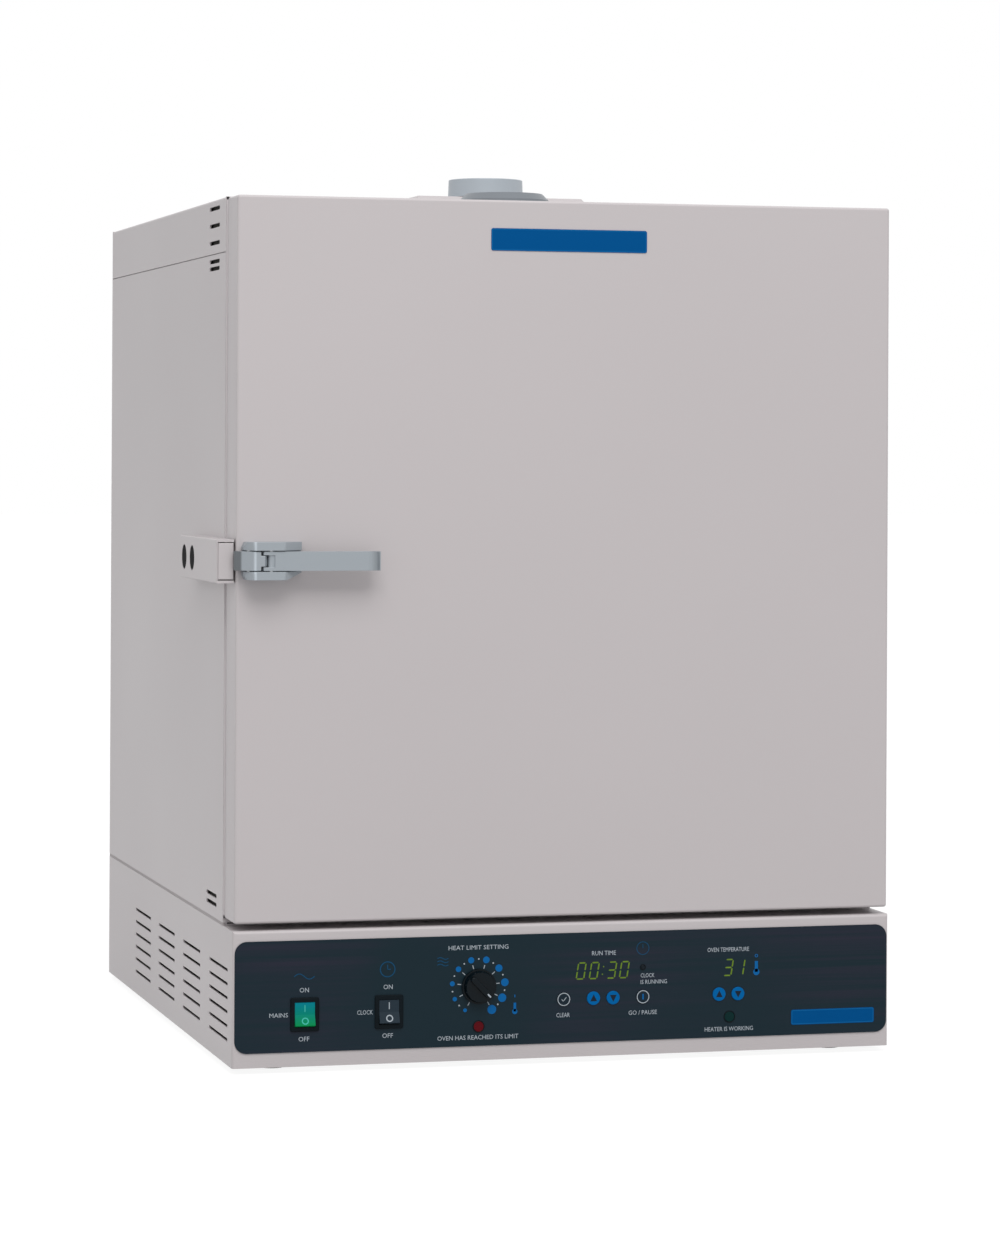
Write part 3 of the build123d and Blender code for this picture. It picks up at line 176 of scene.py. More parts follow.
def add_cloud(tree, where, detail=2, scale=5.0):
    """A soft noise over the surface, read at a place."""
    cloud = tree.nodes.new("ShaderNodeTexNoise")
    cloud.inputs["Detail"].default_value = detail
    cloud.inputs["Scale"].default_value = scale
    tree.links.new(where, cloud.inputs["Vector"])
    return cloud


def object_place(tree):
    """The place on the piece, on its own coordinates."""
    return tree.nodes.new("ShaderNodeTexCoord").outputs["Object"]


surface_inputs = [
    ("Colour", "NodeSocketColor", (0.5, 0.5, 0.5, 1)),
    ("Drift", "NodeSocketFloat", 0.05),
    ("Grain", "NodeSocketFloat", 900.0),
    ("Roughness", "NodeSocketFloat", 0.45),
]
surface_outputs = [
    ("Colour", "NodeSocketColor"),
    ("Roughness", "NodeSocketFloat"),
    ("Height", "NodeSocketFloat"),
]

powder_coat, coat_in, coat_out = new_group("Powder coat", surface_inputs, surface_outputs)
coat_fine_share = 0.03
coat_rough_share = 0.15
coat_place = object_place(powder_coat)
coat_cloud = add_cloud(powder_coat, coat_place, detail=3, scale=2.6)
coat_peel = add_cloud(powder_coat, coat_place)
powder_coat.links.new(coat_in.outputs["Grain"], coat_peel.inputs["Scale"])
coat_shift = add_math(powder_coat, "SUBTRACT", coat_cloud.outputs["Fac"], 0.5)
coat_value = add_math(powder_coat, "MULTIPLY_ADD", coat_shift, coat_in.outputs["Drift"], 1.0)
coat_fine = add_math(powder_coat, "SUBTRACT", coat_peel.outputs["Fac"], 0.5)
coat_value = add_math(powder_coat, "MULTIPLY_ADD", coat_fine, coat_fine_share, coat_value)
send_tint(powder_coat, coat_in.outputs["Colour"], coat_value, coat_out.inputs["Colour"])
coat_rough = add_math(
    powder_coat, "MULTIPLY_ADD", coat_shift, coat_rough_share, coat_in.outputs["Roughness"]
)
powder_coat.links.new(coat_rough, coat_out.inputs["Roughness"])
powder_coat.links.new(coat_peel.outputs["Fac"], coat_out.inputs["Height"])


def make_finish(name, group, values, metallic=0.0, bump=0.1, depth=0.0002, gloss=0.5):
    """A material from one of the surface groups, with its own values."""
    material = bpy.data.materials.new(name)
    material.use_nodes = True
    tree = material.node_tree
    shader = tree.nodes["Principled BSDF"]
    surface = tree.nodes.new("ShaderNodeGroup")
    surface.node_tree = group
    for socket, value in values.items():
        surface.inputs[socket].default_value = value
    relief = tree.nodes.new("ShaderNodeBump")
    relief.inputs["Strength"].default_value = bump
    relief.inputs["Distance"].default_value = depth
    tree.links.new(surface.outputs["Colour"], shader.inputs["Base Color"])
    tree.links.new(surface.outputs["Roughness"], shader.inputs["Roughness"])
    tree.links.new(surface.outputs["Height"], relief.inputs["Height"])
    tree.links.new(relief.outputs["Normal"], shader.inputs["Normal"])
    shader.inputs["Metallic"].default_value = metallic
    shader.inputs["Specular IOR Level"].default_value = gloss
    return material


def dress(material, *names):
    """Gives CAD nodes their material."""
    for name in names:
        nodes[name].data.materials.clear()
        nodes[name].data.materials.append(material)


def ease_edges(width, *names):
    """Rounds the sharp edges of CAD nodes, as folds, casts and mouldings have them."""
    for name in names:
        weld = nodes[name].modifiers.new("weld", "WELD")
        weld.merge_threshold = 0.00001
        flat = nodes[name].modifiers.new("flat", "DECIMATE")
        flat.decimate_type = "DISSOLVE"
        flat.angle_limit = math.radians(0.5)
        soft = nodes[name].modifiers.new("soft", "BEVEL")
        soft.width = width
        soft.segments = 2
        soft.limit_method = "ANGLE"
        soft.angle_limit = math.radians(35)
        soft.harden_normals = False


grey_coat = make_finish(
    "light grey powder coat",
    powder_coat,
    {"Colour": colour(199, 194, 195), "Drift": 0.05, "Grain": 900.0, "Roughness": 0.42},
    bump=0.12,
)
dress(
    grey_coat,
    "base_shell",
    "cabinet_wrap",
    "front_frame",
    "top_cover",
    "back_panel",
    "vent_pan",
    "door_shell",
    "strike_housing",
    "strike_plate",
)

# Plated sheet: the base floor pan is plain galvanised steel, with a soft spangle.
# Nobody sees it unless the oven is tipped.
dress(
    make_finish(
        "galvanised sheet",
        powder_coat,
        {"Colour": colour(168, 170, 168), "Drift": 0.35, "Grain": 260.0, "Roughness": 0.38},
        metallic=0.9,
        bump=0.05,
    ),
    "base_floor_pan",
)

# Feet: four low glides of black rubber, moulded on steel studs that are screwed up
# into the base. Moulded pieces share one skin: a cloudy tone and a fine sparkle.
rubber_skin, skin_in, skin_out = new_group("Moulded skin", surface_inputs, surface_outputs)
skin_rough_share = 0.2
skin_place = object_place(rubber_skin)
skin_cloud = add_cloud(rubber_skin, skin_place, detail=4, scale=40)
skin_spark = rubber_skin.nodes.new("ShaderNodeTexVoronoi")
rubber_skin.links.new(skin_place, skin_spark.inputs["Vector"])
rubber_skin.links.new(skin_in.outputs["Grain"], skin_spark.inputs["Scale"])
skin_shift = add_math(rubber_skin, "SUBTRACT", skin_cloud.outputs["Fac"], 0.5)
skin_value = add_math(rubber_skin, "MULTIPLY_ADD", skin_shift, skin_in.outputs["Drift"], 1.0)
send_tint(rubber_skin, skin_in.outputs["Colour"], skin_value, skin_out.inputs["Colour"])
skin_rough = add_math(
    rubber_skin, "MULTIPLY_ADD", skin_shift, skin_rough_share, skin_in.outputs["Roughness"]
)
rubber_skin.links.new(skin_rough, skin_out.inputs["Roughness"])
rubber_skin.links.new(skin_spark.outputs["Distance"], skin_out.inputs["Height"])

dress(
    make_finish(
        "black rubber",
        rubber_skin,
        {"Colour": colour(34, 34, 35), "Drift": 0.4, "Grain": 700.0, "Roughness": 0.75},
    ),
    "levelling_feet",
)

# Control overlay: a dark blue printed film, stuck over the whole front of the base. It
# has fine level streaks in its print and a satin face.
base_low, base_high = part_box("base_shell")
overlay_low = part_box("control_overlay")[0]
film = bpy.data.materials.new("printed dark film")
film.use_nodes = True
film_tree = film.node_tree
film_shader = film_tree.nodes["Principled BSDF"]
film_place = object_place(film_tree)
film_stretch = film_tree.nodes.new("ShaderNodeMapping")
film_stretch.inputs["Scale"].default_value = (2.2, 1, 150)
film_tree.links.new(film_place, film_stretch.inputs["Vector"])
film_streak = add_cloud(film_tree, film_stretch.outputs["Vector"], detail=4, scale=1)
film_streak.inputs["Roughness"].default_value = 0.6
film_patch = add_cloud(film_tree, film_place, scale=4.5)
film_range = film_tree.nodes.new("ShaderNodeMapRange")
film_range.inputs["From Min"].default_value = 0.35
film_range.inputs["From Max"].default_value = 0.7
film_where = film_tree.nodes.new("ShaderNodeMapRange")
film_where.inputs["From Min"].default_value = 0.4
film_where.inputs["From Max"].default_value = 0.62
film_both = add_math(film_tree, "MULTIPLY", film_range.outputs[0], film_where.outputs[0])
film_mix = film_tree.nodes.new("ShaderNodeMix")
film_mix.data_type = "RGBA"
film_mix.inputs["A"].default_value = colour(16, 37, 46)
film_mix.inputs["B"].default_value = colour(38, 39, 54)
film_tree.links.new(film_streak.outputs["Fac"], film_range.inputs["Value"])
film_tree.links.new(film_patch.outputs["Fac"], film_where.inputs["Value"])
film_tree.links.new(film_both, film_mix.inputs["Factor"])
film_tree.links.new(film_mix.outputs["Result"], film_shader.inputs["Base Color"])
film_shader.inputs["Roughness"].default_value = 0.42
film_shader.inputs["Specular IOR Level"].default_value = 0.15
dress(film, "control_overlay")

# Marks on the overlay: they are screen printed, white for words and lines and blue for
# signs. Each is a very thin raised layer of ink, in millimetres from the base's corner.
ink_height = 0.06


def panel_place(x, z, lift=0.0):
    """A point on the overlay's face."""
    return (base_low.x + x * mm, overlay_low.y - lift * mm, base_low.z + z * mm)


def settle(piece):
    """Puts a piece's place, turn and scale into its mesh."""
    bpy.ops.object.select_all(action="DESELECT")
    piece.select_set(True)
    bpy.context.view_layer.objects.active = piece
    bpy.ops.object.transform_apply(location=True, rotation=True, scale=True)
    return piece


def join_pieces(name, material, body, pieces):
    """Joins pieces into one named piece with a material and a body."""
    bpy.ops.object.select_all(action="DESELECT")
    for piece in pieces:
        piece.select_set(True)
    bpy.context.view_layer.objects.active = pieces[0]
    if len(pieces) > 1:
        bpy.ops.object.join()
    whole = settle(bpy.context.object)
    whole.name = name
    whole.data.name = name
    whole.data.materials.clear()
    whole.data.materials.append(material)
    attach(whole, body)
    return whole


def print_words(words, x, z, width, height):
    """A line of plain capitals, fitted to its width and height round its middle."""
    bpy.ops.object.select_all(action="DESELECT")
    bpy.ops.object.text_add()
    line = bpy.context.object
    line.data.body = words
    line.data.resolution_u = 2
    line.data.extrude = ink_height * mm / 2
    bpy.ops.object.convert(target="MESH")
    line = bpy.context.object
    bpy.ops.object.origin_set(type="ORIGIN_GEOMETRY", center="BOUNDS")
    line.scale = (width * mm / line.dimensions.x, height * mm / line.dimensions.y, 1)
    line.rotation_euler = (math.pi / 2, 0, 0)
    line.location = panel_place(x, z, ink_height / 2)
    return settle(line)


def print_shape(outline, lift=0.0):
    """A flat printed shape from its outline on the overlay, given round anticlockwise."""
    bpy.ops.object.select_all(action="DESELECT")
    bpy.ops.mesh.primitive_circle_add(vertices=len(outline), fill_type="NGON")
    shape = bpy.context.object
    for vertex, (x, z) in zip(shape.data.vertices, outline):
        vertex.co = panel_place(x, z, lift)
    bpy.ops.object.mode_set(mode="EDIT")
    bpy.ops.mesh.select_all(action="SELECT")
    bpy.ops.mesh.extrude_region_move(TRANSFORM_OT_translate={"value": (0, -ink_height * mm, 0)})
    bpy.ops.mesh.select_all(action="SELECT")
    bpy.ops.mesh.normals_make_consistent(inside=False)
    bpy.ops.object.mode_set(mode="OBJECT")
    return shape


def print_dot(x, z, radius, sides=20, lift=0.0):
    """A printed dot."""
    turns = [2 * math.pi * side / sides for side in range(sides)]
    outline = [(x + radius * math.cos(turn), z + radius * math.sin(turn)) for turn in turns]
    return print_shape(outline, lift)


def print_line(x0, z0, x1, z1, width, lift=0.0):
    """A straight printed line with square ends."""
    length = math.hypot(x1 - x0, z1 - z0)
    across_x = -(z1 - z0) / length * width / 2
    across_z = (x1 - x0) / length * width / 2
    return print_shape(
        [
            (x0 - across_x, z0 - across_z),
            (x1 - across_x, z1 - across_z),
            (x1 + across_x, z1 + across_z),
            (x0 + across_x, z0 + across_z),
        ],
        lift,
    )


def print_path(points, width, lift=0.0):
    """A printed line through points, one piece for each run."""
    return [
        print_line(x0, z0, x1, z1, width, lift)
        for (x0, z0), (x1, z1) in zip(points, points[1:])
    ]


def print_ring(x, z, radius, width, lift=0.0):
    """A printed ring."""
    bpy.ops.object.select_all(action="DESELECT")
    bpy.ops.mesh.primitive_torus_add(
        major_radius=radius * mm,
        minor_radius=width * mm / 2,
        major_segments=36,
        minor_segments=6,
        rotation=(math.pi / 2, 0, 0),
        location=panel_place(x, z, lift),
    )
    ring = bpy.context.object
    ring.scale = (1, 1, ink_height / width)
    return settle(ring)


def flat_ink(name, tone):
    """A screen ink: matt, and hardly raised."""
    return make_finish(
        name,
        rubber_skin,
        {"Colour": tone, "Drift": 0.12, "Grain": 2500.0, "Roughness": 0.5},
        bump=0.05,
        gloss=0.15,
    )


white_ink = flat_ink("white ink", colour(178, 188, 196))
blue_ink = flat_ink("blue ink", colour(0, 100, 168))
dim_ink = flat_ink("dim blue ink", colour(6, 70, 106))

# Each line of words with its middle, across and up, and its width and height.
word_places = [
    ("ON", 70, 73.4, 9, 4.4),
    ("OFF", 69.9, 26.5, 10.6, 4.4),
    ("MAINS", 45, 49.9, 18.2, 4.2),
    ("ON", 152.5, 74, 9, 4.4),
    ("OFF", 152.3, 27.1, 10.6, 4.4),
    ("CLOCK", 129.8, 50.1, 15.4, 4.2),
    ("HEAT LIMIT SETTING", 242.5, 109.6, 60, 4.2),
    ("OVEN HAS REACHED ITS LIMIT", 242.3, 22.4, 81, 4.2),
    ("RUN TIME", 369.3, 100.5, 24.3, 4.2),
    ("CLOCK", 414, 77.4, 14.1, 4),
    ("IS RUNNING", 420.4, 71, 27, 4),
    ("CLEAR", 328, 41.2, 13.6, 4.2),
    ("GO / PAUSE", 409.2, 41.2, 29, 4.2),
    ("OVEN TEMPERATURE", 497.2, 100.4, 43, 4.2),
    ("HEATER IS WORKING", 498.1, 22.2, 50, 4.2),
]
white_marks = [print_words(*place) for place in word_places]

# Dial: ten dots that grow with the heat, a tick by each, and a small dot between them.
dial_x, dial_z = 242.7, 71.8
dial_radius = 26.5
dial_first = math.radians(-120.5)
dial_steps = 9
dial_step = -math.radians(299.2) / dial_steps
first_dot, last_dot = 1.9, 4.4
tick_start, tick_end, tick_width = 17.6, 21.2, 0.8
between_dot = 0.8


def dial_place(turn, radius):
    """A point round the dial, across and up from the base's corner."""
    return dial_x + radius * math.cos(turn), dial_z + radius * math.sin(turn)


blue_marks = []
for step in range(dial_steps + 1):
    turn = dial_first + step * dial_step
    dot_radius = first_dot + (last_dot - first_dot) * step / dial_steps
    blue_marks.append(print_dot(*dial_place(turn, dial_radius), dot_radius))
    tick_ends = (*dial_place(turn, tick_start), *dial_place(turn, tick_end))
    white_marks.append(print_line(*tick_ends, tick_width))
    if step < dial_steps:
        between = dial_place(turn + dial_step / 2, dial_radius)
        white_marks.append(print_dot(*between, between_dot, sides=8))


# Signs: thin blue lines in the same ink layer. A wave stands for the mains, rings with
# hands for the clock, three level waves for warm air, and bulb and stem for heat.
def print_wave(x, z, length, swing, parts, width):
    """One level wave, printed from its left end."""
    turns = [2 * math.pi * part / parts for part in range(parts + 1)]
    points = [(x + length * t / (2 * math.pi), z + swing * math.sin(t)) for t in turns]
    return print_path(points, width)


def print_clock(x, z, radius, line, hands, hand_width):
    """A ring with its hands, each given by how far it reaches across and up."""
    ring = print_ring(x, z, radius, line)
    return [ring] + [print_line(x, z, x + far, z + up, hand_width) for far, up in hands]


dim_marks = print_wave(60, 86.4, length=20, swing=2.6, parts=16, width=0.9)
dim_marks += print_clock(
    152, 90.9, radius=7.2, line=1.0, hands=((0, 4.3), (3.2, 0)), hand_width=0.9
)
dim_marks += print_clock(409.1, 104.1, radius=6.2, line=0.7, hands=((0, 3.9),), hand_width=0.6)
air_rows = (93.4, 96.6, 99.8)
for z in air_rows:
    dim_marks += print_wave(201.4, z, length=11, swing=0.9, parts=10, width=0.8)
bulb_radius, stem_length = 2.6, 8.6
dial_bulb = (279.2, 46.2, 1.0)
oven_bulb = (526.4, 77.4, 1.25)
for x, z, size in (dial_bulb, oven_bulb):
    blue_marks.append(print_dot(x, z, bulb_radius * size))
    blue_marks.append(print_line(x, z, x, z + stem_length * size, bulb_radius * size))
blue_marks.append(print_ring(oven_bulb[0], 93.4, radius=1.3, width=0.7))
blue_marks.append(print_line(dial_bulb[0], 60, dial_bulb[0], 62.6, width=0.9))

join_pieces("overlay_white_print", white_ink, "cabinet", white_marks)
join_pieces("overlay_blue_print", blue_ink, "cabinet", blue_marks)
join_pieces("overlay_dim_print", dim_ink, "cabinet", dim_marks)

# Plain blue plates: one on the door and one at the overlay's lower right. Both are thin
# enamelled plates with a lighter line round the edge, stuck on and bare.
plate_blue = make_finish(
    "blue enamel",
    powder_coat,
    {"Colour": colour(0, 82, 144), "Drift": 0.1, "Grain": 300.0, "Roughness": 0.5},
    bump=0.03,
    gloss=0.04,
)
plate_line = make_finish(
    "pale blue enamel",
    powder_coat,
    {"Colour": colour(24, 108, 168), "Drift": 0.1, "Grain": 300.0, "Roughness": 0.5},
    bump=0.03,
    gloss=0.04,
)
plate_corner = 2.0 * mm
plate_margin = 0.7 * mm
plate_line_width = 0.5 * mm


def make_plate(name, body, x, y, z, width, height, thickness):
    """A thin plate that faces the front, with round corners and a lighter border line."""
    bpy.ops.object.select_all(action="DESELECT")
    bpy.ops.mesh.primitive_cube_add(size=1, location=(x, y - thickness / 2, z))
    plate = bpy.context.object
    plate.scale = (width, thickness, height)
    settle(plate)
    corners = plate.modifiers.new("corners", "BEVEL")
    corners.width = plate_corner
    corners.segments = 5
    corners.limit_method = "WEIGHT"
    bevels = plate.data.attributes.new("bevel_weight_edge", "FLOAT", "EDGE")
    for edge in plate.data.edges:
        ends = [plate.data.vertices[index].co for index in edge.vertices]
        along_y = abs(ends[0].y - ends[1].y) > thickness / 2
        bevels.data[edge.index].value = 1.0 if along_y else 0.0
    bpy.ops.object.modifier_apply(modifier="corners")
    bpy.ops.object.mode_set(mode="EDIT")
    bpy.ops.mesh.select_mode(type="FACE")
    bpy.ops.mesh.select_all(action="DESELECT")
    bpy.ops.object.mode_set(mode="OBJECT")
    front = min(plate.data.polygons, key=lambda face: face.center.y)
    front.select = True
    bpy.ops.object.mode_set(mode="EDIT")
    bpy.ops.mesh.inset(thickness=plate_margin, depth=0)
    bpy.ops.mesh.inset(thickness=plate_line_width, depth=0)
    bpy.ops.object.mode_set(mode="OBJECT")
    plate.data.materials.clear()
    plate.data.materials.append(plate_blue)
    plate.data.materials.append(plate_line)
    middle = next(face for face in plate.data.polygons if face.select)
    middle_corners = set(middle.vertices)
    for face in plate.data.polygons:
        shared = len(middle_corners.intersection(face.vertices))
        if face.index != middle.index and shared == 2 and abs(face.normal.y) > 0.9:
            face.material_index = 1
    plate.name = name
    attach(plate, body)


door_low, door_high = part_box("door_shell")
make_plate(
    "door_blue_plate",
    "door",
    x=base_low.x + 331.1 * mm,
    y=door_low.y,
    z=base_low.z + 796.7 * mm,
    width=158 * mm,
    height=21.8 * mm,
    thickness=0.6 * mm,
)
make_plate(
    "overlay_blue_plate",
    "cabinet",
    x=base_low.x + 606.3 * mm,
    y=overlay_low.y,
    z=base_low.z + 31.3 * mm,
    width=87 * mm,
    height=15 * mm,
    thickness=0.3 * mm,
)

# Switch frames: black glass-filled plastic, moulded and snapped into the panel. The
# thermostat, the relay and the mains inlet inside and behind are the same plastic.
black_plastic = make_finish(
    "black plastic",
    rubber_skin,
    {"Colour": colour(4, 15, 21), "Drift": 0.3, "Grain": 1600.0, "Roughness": 0.45},
    bump=0.08,
    gloss=0.1,
)
dress(
    black_plastic,
    "power_switch_frame",
    "timer_switch_frame",
    "overtemp_thermostat",
    "power_inlet",
    "heater_relay",
)

# Power rocker: a clear green moulded cap, pivoted in its frame and lit from inside by a
# small lamp. It looks bluer at its top.
rocker_low, rocker_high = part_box("power_rocker")
lit = bpy.data.materials.new("lit green cap")
lit.use_nodes = True
lit_tree = lit.node_tree
lit_shader = lit_tree.nodes["Principled BSDF"]
lit_place = object_place(lit_tree)
lit_split = lit_tree.nodes.new("ShaderNodeSeparateXYZ")
lit_range = lit_tree.nodes.new("ShaderNodeMapRange")
lit_range.inputs["From Min"].default_value = rocker_low.z
lit_range.inputs["From Max"].default_value = rocker_high.z
lit_mix = lit_tree.nodes.new("ShaderNodeMix")
lit_mix.data_type = "RGBA"
lit_mix.inputs["A"].default_value = colour(4, 126, 62)
lit_mix.inputs["B"].default_value = colour(4, 116, 132)
lit_grain = add_cloud(lit_tree, lit_place, scale=350)
lit_relief = lit_tree.nodes.new("ShaderNodeBump")
lit_relief.inputs["Strength"].default_value = 0.15
lit_relief.inputs["Distance"].default_value = 0.0003
lit_tree.links.new(lit_place, lit_split.inputs[0])
lit_tree.links.new(lit_split.outputs["Z"], lit_range.inputs["Value"])
lit_tree.links.new(lit_range.outputs[0], lit_mix.inputs["Factor"])
lit_tree.links.new(lit_mix.outputs["Result"], lit_shader.inputs["Base Color"])
lit_tree.links.new(lit_mix.outputs["Result"], lit_shader.inputs["Emission Color"])
lit_tree.links.new(lit_grain.outputs["Fac"], lit_relief.inputs["Height"])
lit_tree.links.new(lit_relief.outputs["Normal"], lit_shader.inputs["Normal"])
lit_shader.inputs["Emission Strength"].default_value = 0.25
lit_shader.inputs["Roughness"].default_value = 0.4
lit_shader.inputs["Specular IOR Level"].default_value = 0.06
dress(lit, "power_rocker")

# Timer rocker: the same moulded rocker, pivoted in its own frame, but in satin dark grey
# plastic and unlit.
dress(
    make_finish(
        "dark grey plastic",
        rubber_skin,
        {"Colour": colour(38, 51, 61), "Drift": 0.25, "Grain": 1600.0, "Roughness": 0.45},
        gloss=0.12,
    ),
    "timer_rocker",
)

# Marks on the rockers: thin raised ink, a bar on the upper half and a ring on the lower
# half, which leans out by 18 degrees.
lower_lean = math.radians(18)
mark_reach = 6.2 * mm
bar_rise = 6 * mm
bar_size = (0.9 * mm, 0.12 * mm, 6.6 * mm)
ring_radius, ring_line, ring_flatten = 2.9 * mm, 0.55 * mm, 0.12
rocker_face = base_low.y - 2.6 * mm
rocker_marks = (
    ("power_rocker", flat_ink("pale green ink", colour(70, 190, 176))),
    ("timer_rocker", white_ink),
)
for rocker_name, rocker_ink in rocker_marks:
    low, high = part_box(rocker_name)
    middle_x = (low.x + high.x) / 2
    middle_z = (low.z + high.z) / 2
    bpy.ops.object.select_all(action="DESELECT")
    bpy.ops.mesh.primitive_cube_add(
        size=1, location=(middle_x, rocker_face, middle_z + bar_rise)
    )
    bar = bpy.context.object
    bar.scale = bar_size
    settle(bar)
    bpy.ops.mesh.primitive_torus_add(
        major_radius=ring_radius,
        minor_radius=ring_line,
        major_segments=32,
        minor_segments=6,
        location=(
            middle_x,
            rocker_face - mark_reach * math.sin(lower_lean),
            middle_z - mark_reach * math.cos(lower_lean),
        ),
        rotation=(math.pi / 2 - lower_lean, 0, 0),
    )
    ring = bpy.context.object
    ring.scale = (1, 1, ring_flatten)
    settle(ring)
    join_pieces(rocker_name + "_marks", rocker_ink, rocker_name, [bar, ring])

# Over-temperature knob: polished black plastic, moulded with a raised grip and pushed on
# the thermostat's shaft. Its pointer is a short white bar let into the rim.
dress(
    make_finish(
        "polished black plastic",
        rubber_skin,
        {"Colour": colour(4, 15, 21), "Drift": 0.3, "Grain": 1600.0, "Roughness": 0.25},
        bump=0.04,
        gloss=0.14,
    ),
    "overtemp_knob",
)
pointer_turn = math.radians(-46)
pointer_radius = 10.6
pointer_size = (4.4 * mm, 0.2 * mm, 1.5 * mm)
pointer_x, pointer_z = dial_place(pointer_turn, pointer_radius)
bpy.ops.object.select_all(action="DESELECT")
bpy.ops.mesh.primitive_cube_add(size=1)
pointer = bpy.context.object
pointer.scale = pointer_size
pointer.rotation_euler = (0, -pointer_turn, 0)
pointer.location = (
    base_low.x + pointer_x * mm,
    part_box("overtemp_knob")[0].y,
    base_low.z + pointer_z * mm,
)
settle(pointer)
join_pieces("overtemp_knob_pointer", white_ink, "overtemp_knob", [pointer])

# Indicator lamps: domed plastic lenses, unlit, dark red for the limit and dark green for
# the heater, each pushed into the panel in a thin black bezel.
bezel_gap, bezel_line = 0.5 * mm, 0.6 * mm
for lamp_name, lens_tone in (
    ("overtemp_lamp", colour(92, 6, 18)),
    ("heating_lamp", colour(2, 42, 42)),
    ("timer_lamp", colour(24, 32, 38)),
):
    dress(
        make_finish(
            lamp_name.replace("_", " ") + " lens",
            rubber_skin,
            {"Colour": lens_tone, "Drift": 0.3, "Grain": 900.0, "Roughness": 0.15},
            bump=0.02,
            gloss=0.08,
        ),
        lamp_name,
    )
    low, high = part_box(lamp_name)
    lens_radius = (high.x - low.x) / 2
    bpy.ops.object.select_all(action="DESELECT")
    bpy.ops.mesh.primitive_torus_add(
        major_radius=lens_radius + bezel_gap,
        minor_radius=bezel_line,
        major_segments=40,
        minor_segments=8,
        rotation=(math.pi / 2, 0, 0),
        location=((low.x + high.x) / 2, overlay_low.y, (low.z + high.z) / 2),
    )
    join_pieces(
        lamp_name + "_bezel", black_plastic, "cabinet", [bpy.context.object]
    )

# Displays: smoked plastic windows, set in the panel, with seven green segments a digit.
# The lit segments lie in front of the window, as thin as the ink.
dress(
    make_finish(
        "smoked window",
        rubber_skin,
        {"Colour": colour(14, 18, 20), "Drift": 0.2, "Grain": 1200.0, "Roughness": 0.2},
        gloss=0.2,
    ),
    "timer_display",
    "temperature_display",
)
segment_light = bpy.data.materials.new("lit segment")
segment_light.use_nodes = True
segment_tree = segment_light.node_tree
segment_shader = segment_tree.nodes["Principled BSDF"]
segment_cloud = add_cloud(segment_tree, object_place(segment_tree), scale=180)
segment_mix = segment_tree.nodes.new("ShaderNodeMix")
segment_mix.data_type = "RGBA"
segment_mix.inputs["A"].default_value = colour(80, 104, 30)
segment_mix.inputs["B"].default_value = colour(106, 134, 42)
segment_tree.links.new(segment_cloud.outputs["Fac"], segment_mix.inputs["Factor"])
segment_tree.links.new(segment_mix.outputs["Result"], segment_shader.inputs["Base Color"])
segment_tree.links.new(segment_mix.outputs["Result"], segment_shader.inputs["Emission Color"])
segment_shader.inputs["Emission Strength"].default_value = 0.25
segment_shader.inputs["Specular IOR Level"].default_value = 0.1
segment_shader.inputs["Roughness"].default_value = 0.4

digit_width = 7.6
digit_height = 15.6
digit_slant = 0.16
segment_width = 1.4
segment_gap = 0.5
lit_segments = {"0": "abcdef", "1": "bc", "3": "abcdg"}


def print_digit(digit, x, z):
    """A leaning seven-segment digit round a middle point, one bar for each lit segment."""
    half, rise = digit_width / 2, digit_height / 2
    ends = {
        "a": (-half, rise, half, rise),
        "b": (half, rise, half, 0),
        "c": (half, 0, half, -rise),
        "d": (half, -rise, -half, -rise),
        "e": (-half, -rise, -half, 0),
        "f": (-half, 0, -half, rise),
        "g": (-half, 0, half, 0),
    }
    bars = []
    for letter in lit_segments[digit]:
        x0, z0, x1, z1 = ends[letter]
        length = math.hypot(x1 - x0, z1 - z0)
        along_x, along_z = (x1 - x0) / length, (z1 - z0) / length
        tip = segment_width / 2
        start, end = segment_gap, length - segment_gap
        outline = []
        for along, across in (
            (start, 0),
            (start + tip, -tip),
            (end - tip, -tip),
            (end, 0),
            (end - tip, tip),
            (start + tip, tip),
        ):
            point_x = x0 + along_x * along - along_z * across
            point_z = z0 + along_z * along + along_x * across
            outline.append((x + point_x + digit_slant * point_z, z + point_z))
        bars.append(print_shape(outline))
    return bars


timer_middle, temperature_middle = 83.6, 82.6
colon_x, colon_dot = 368.4, 0.7
timer_bars = []
for digit, x in (("0", 346.2), ("0", 359.5), ("3", 377.4), ("0", 390.2)):
    timer_bars += print_digit(digit, x, timer_middle)
for z in (79.8, 87.2):
    leaning_x = colon_x + digit_slant * (z - timer_middle)
    timer_bars.append(print_dot(leaning_x, z, colon_dot, sides=8))
join_pieces("timer_digits", segment_light, "cabinet", timer_bars)
temperature_bars = []
for digit, x in (("3", 497.4), ("1", 509.6)):
    temperature_bars += print_digit(digit, x, temperature_middle)
join_pieces("temperature_digits", segment_light, "cabinet", temperature_bars)

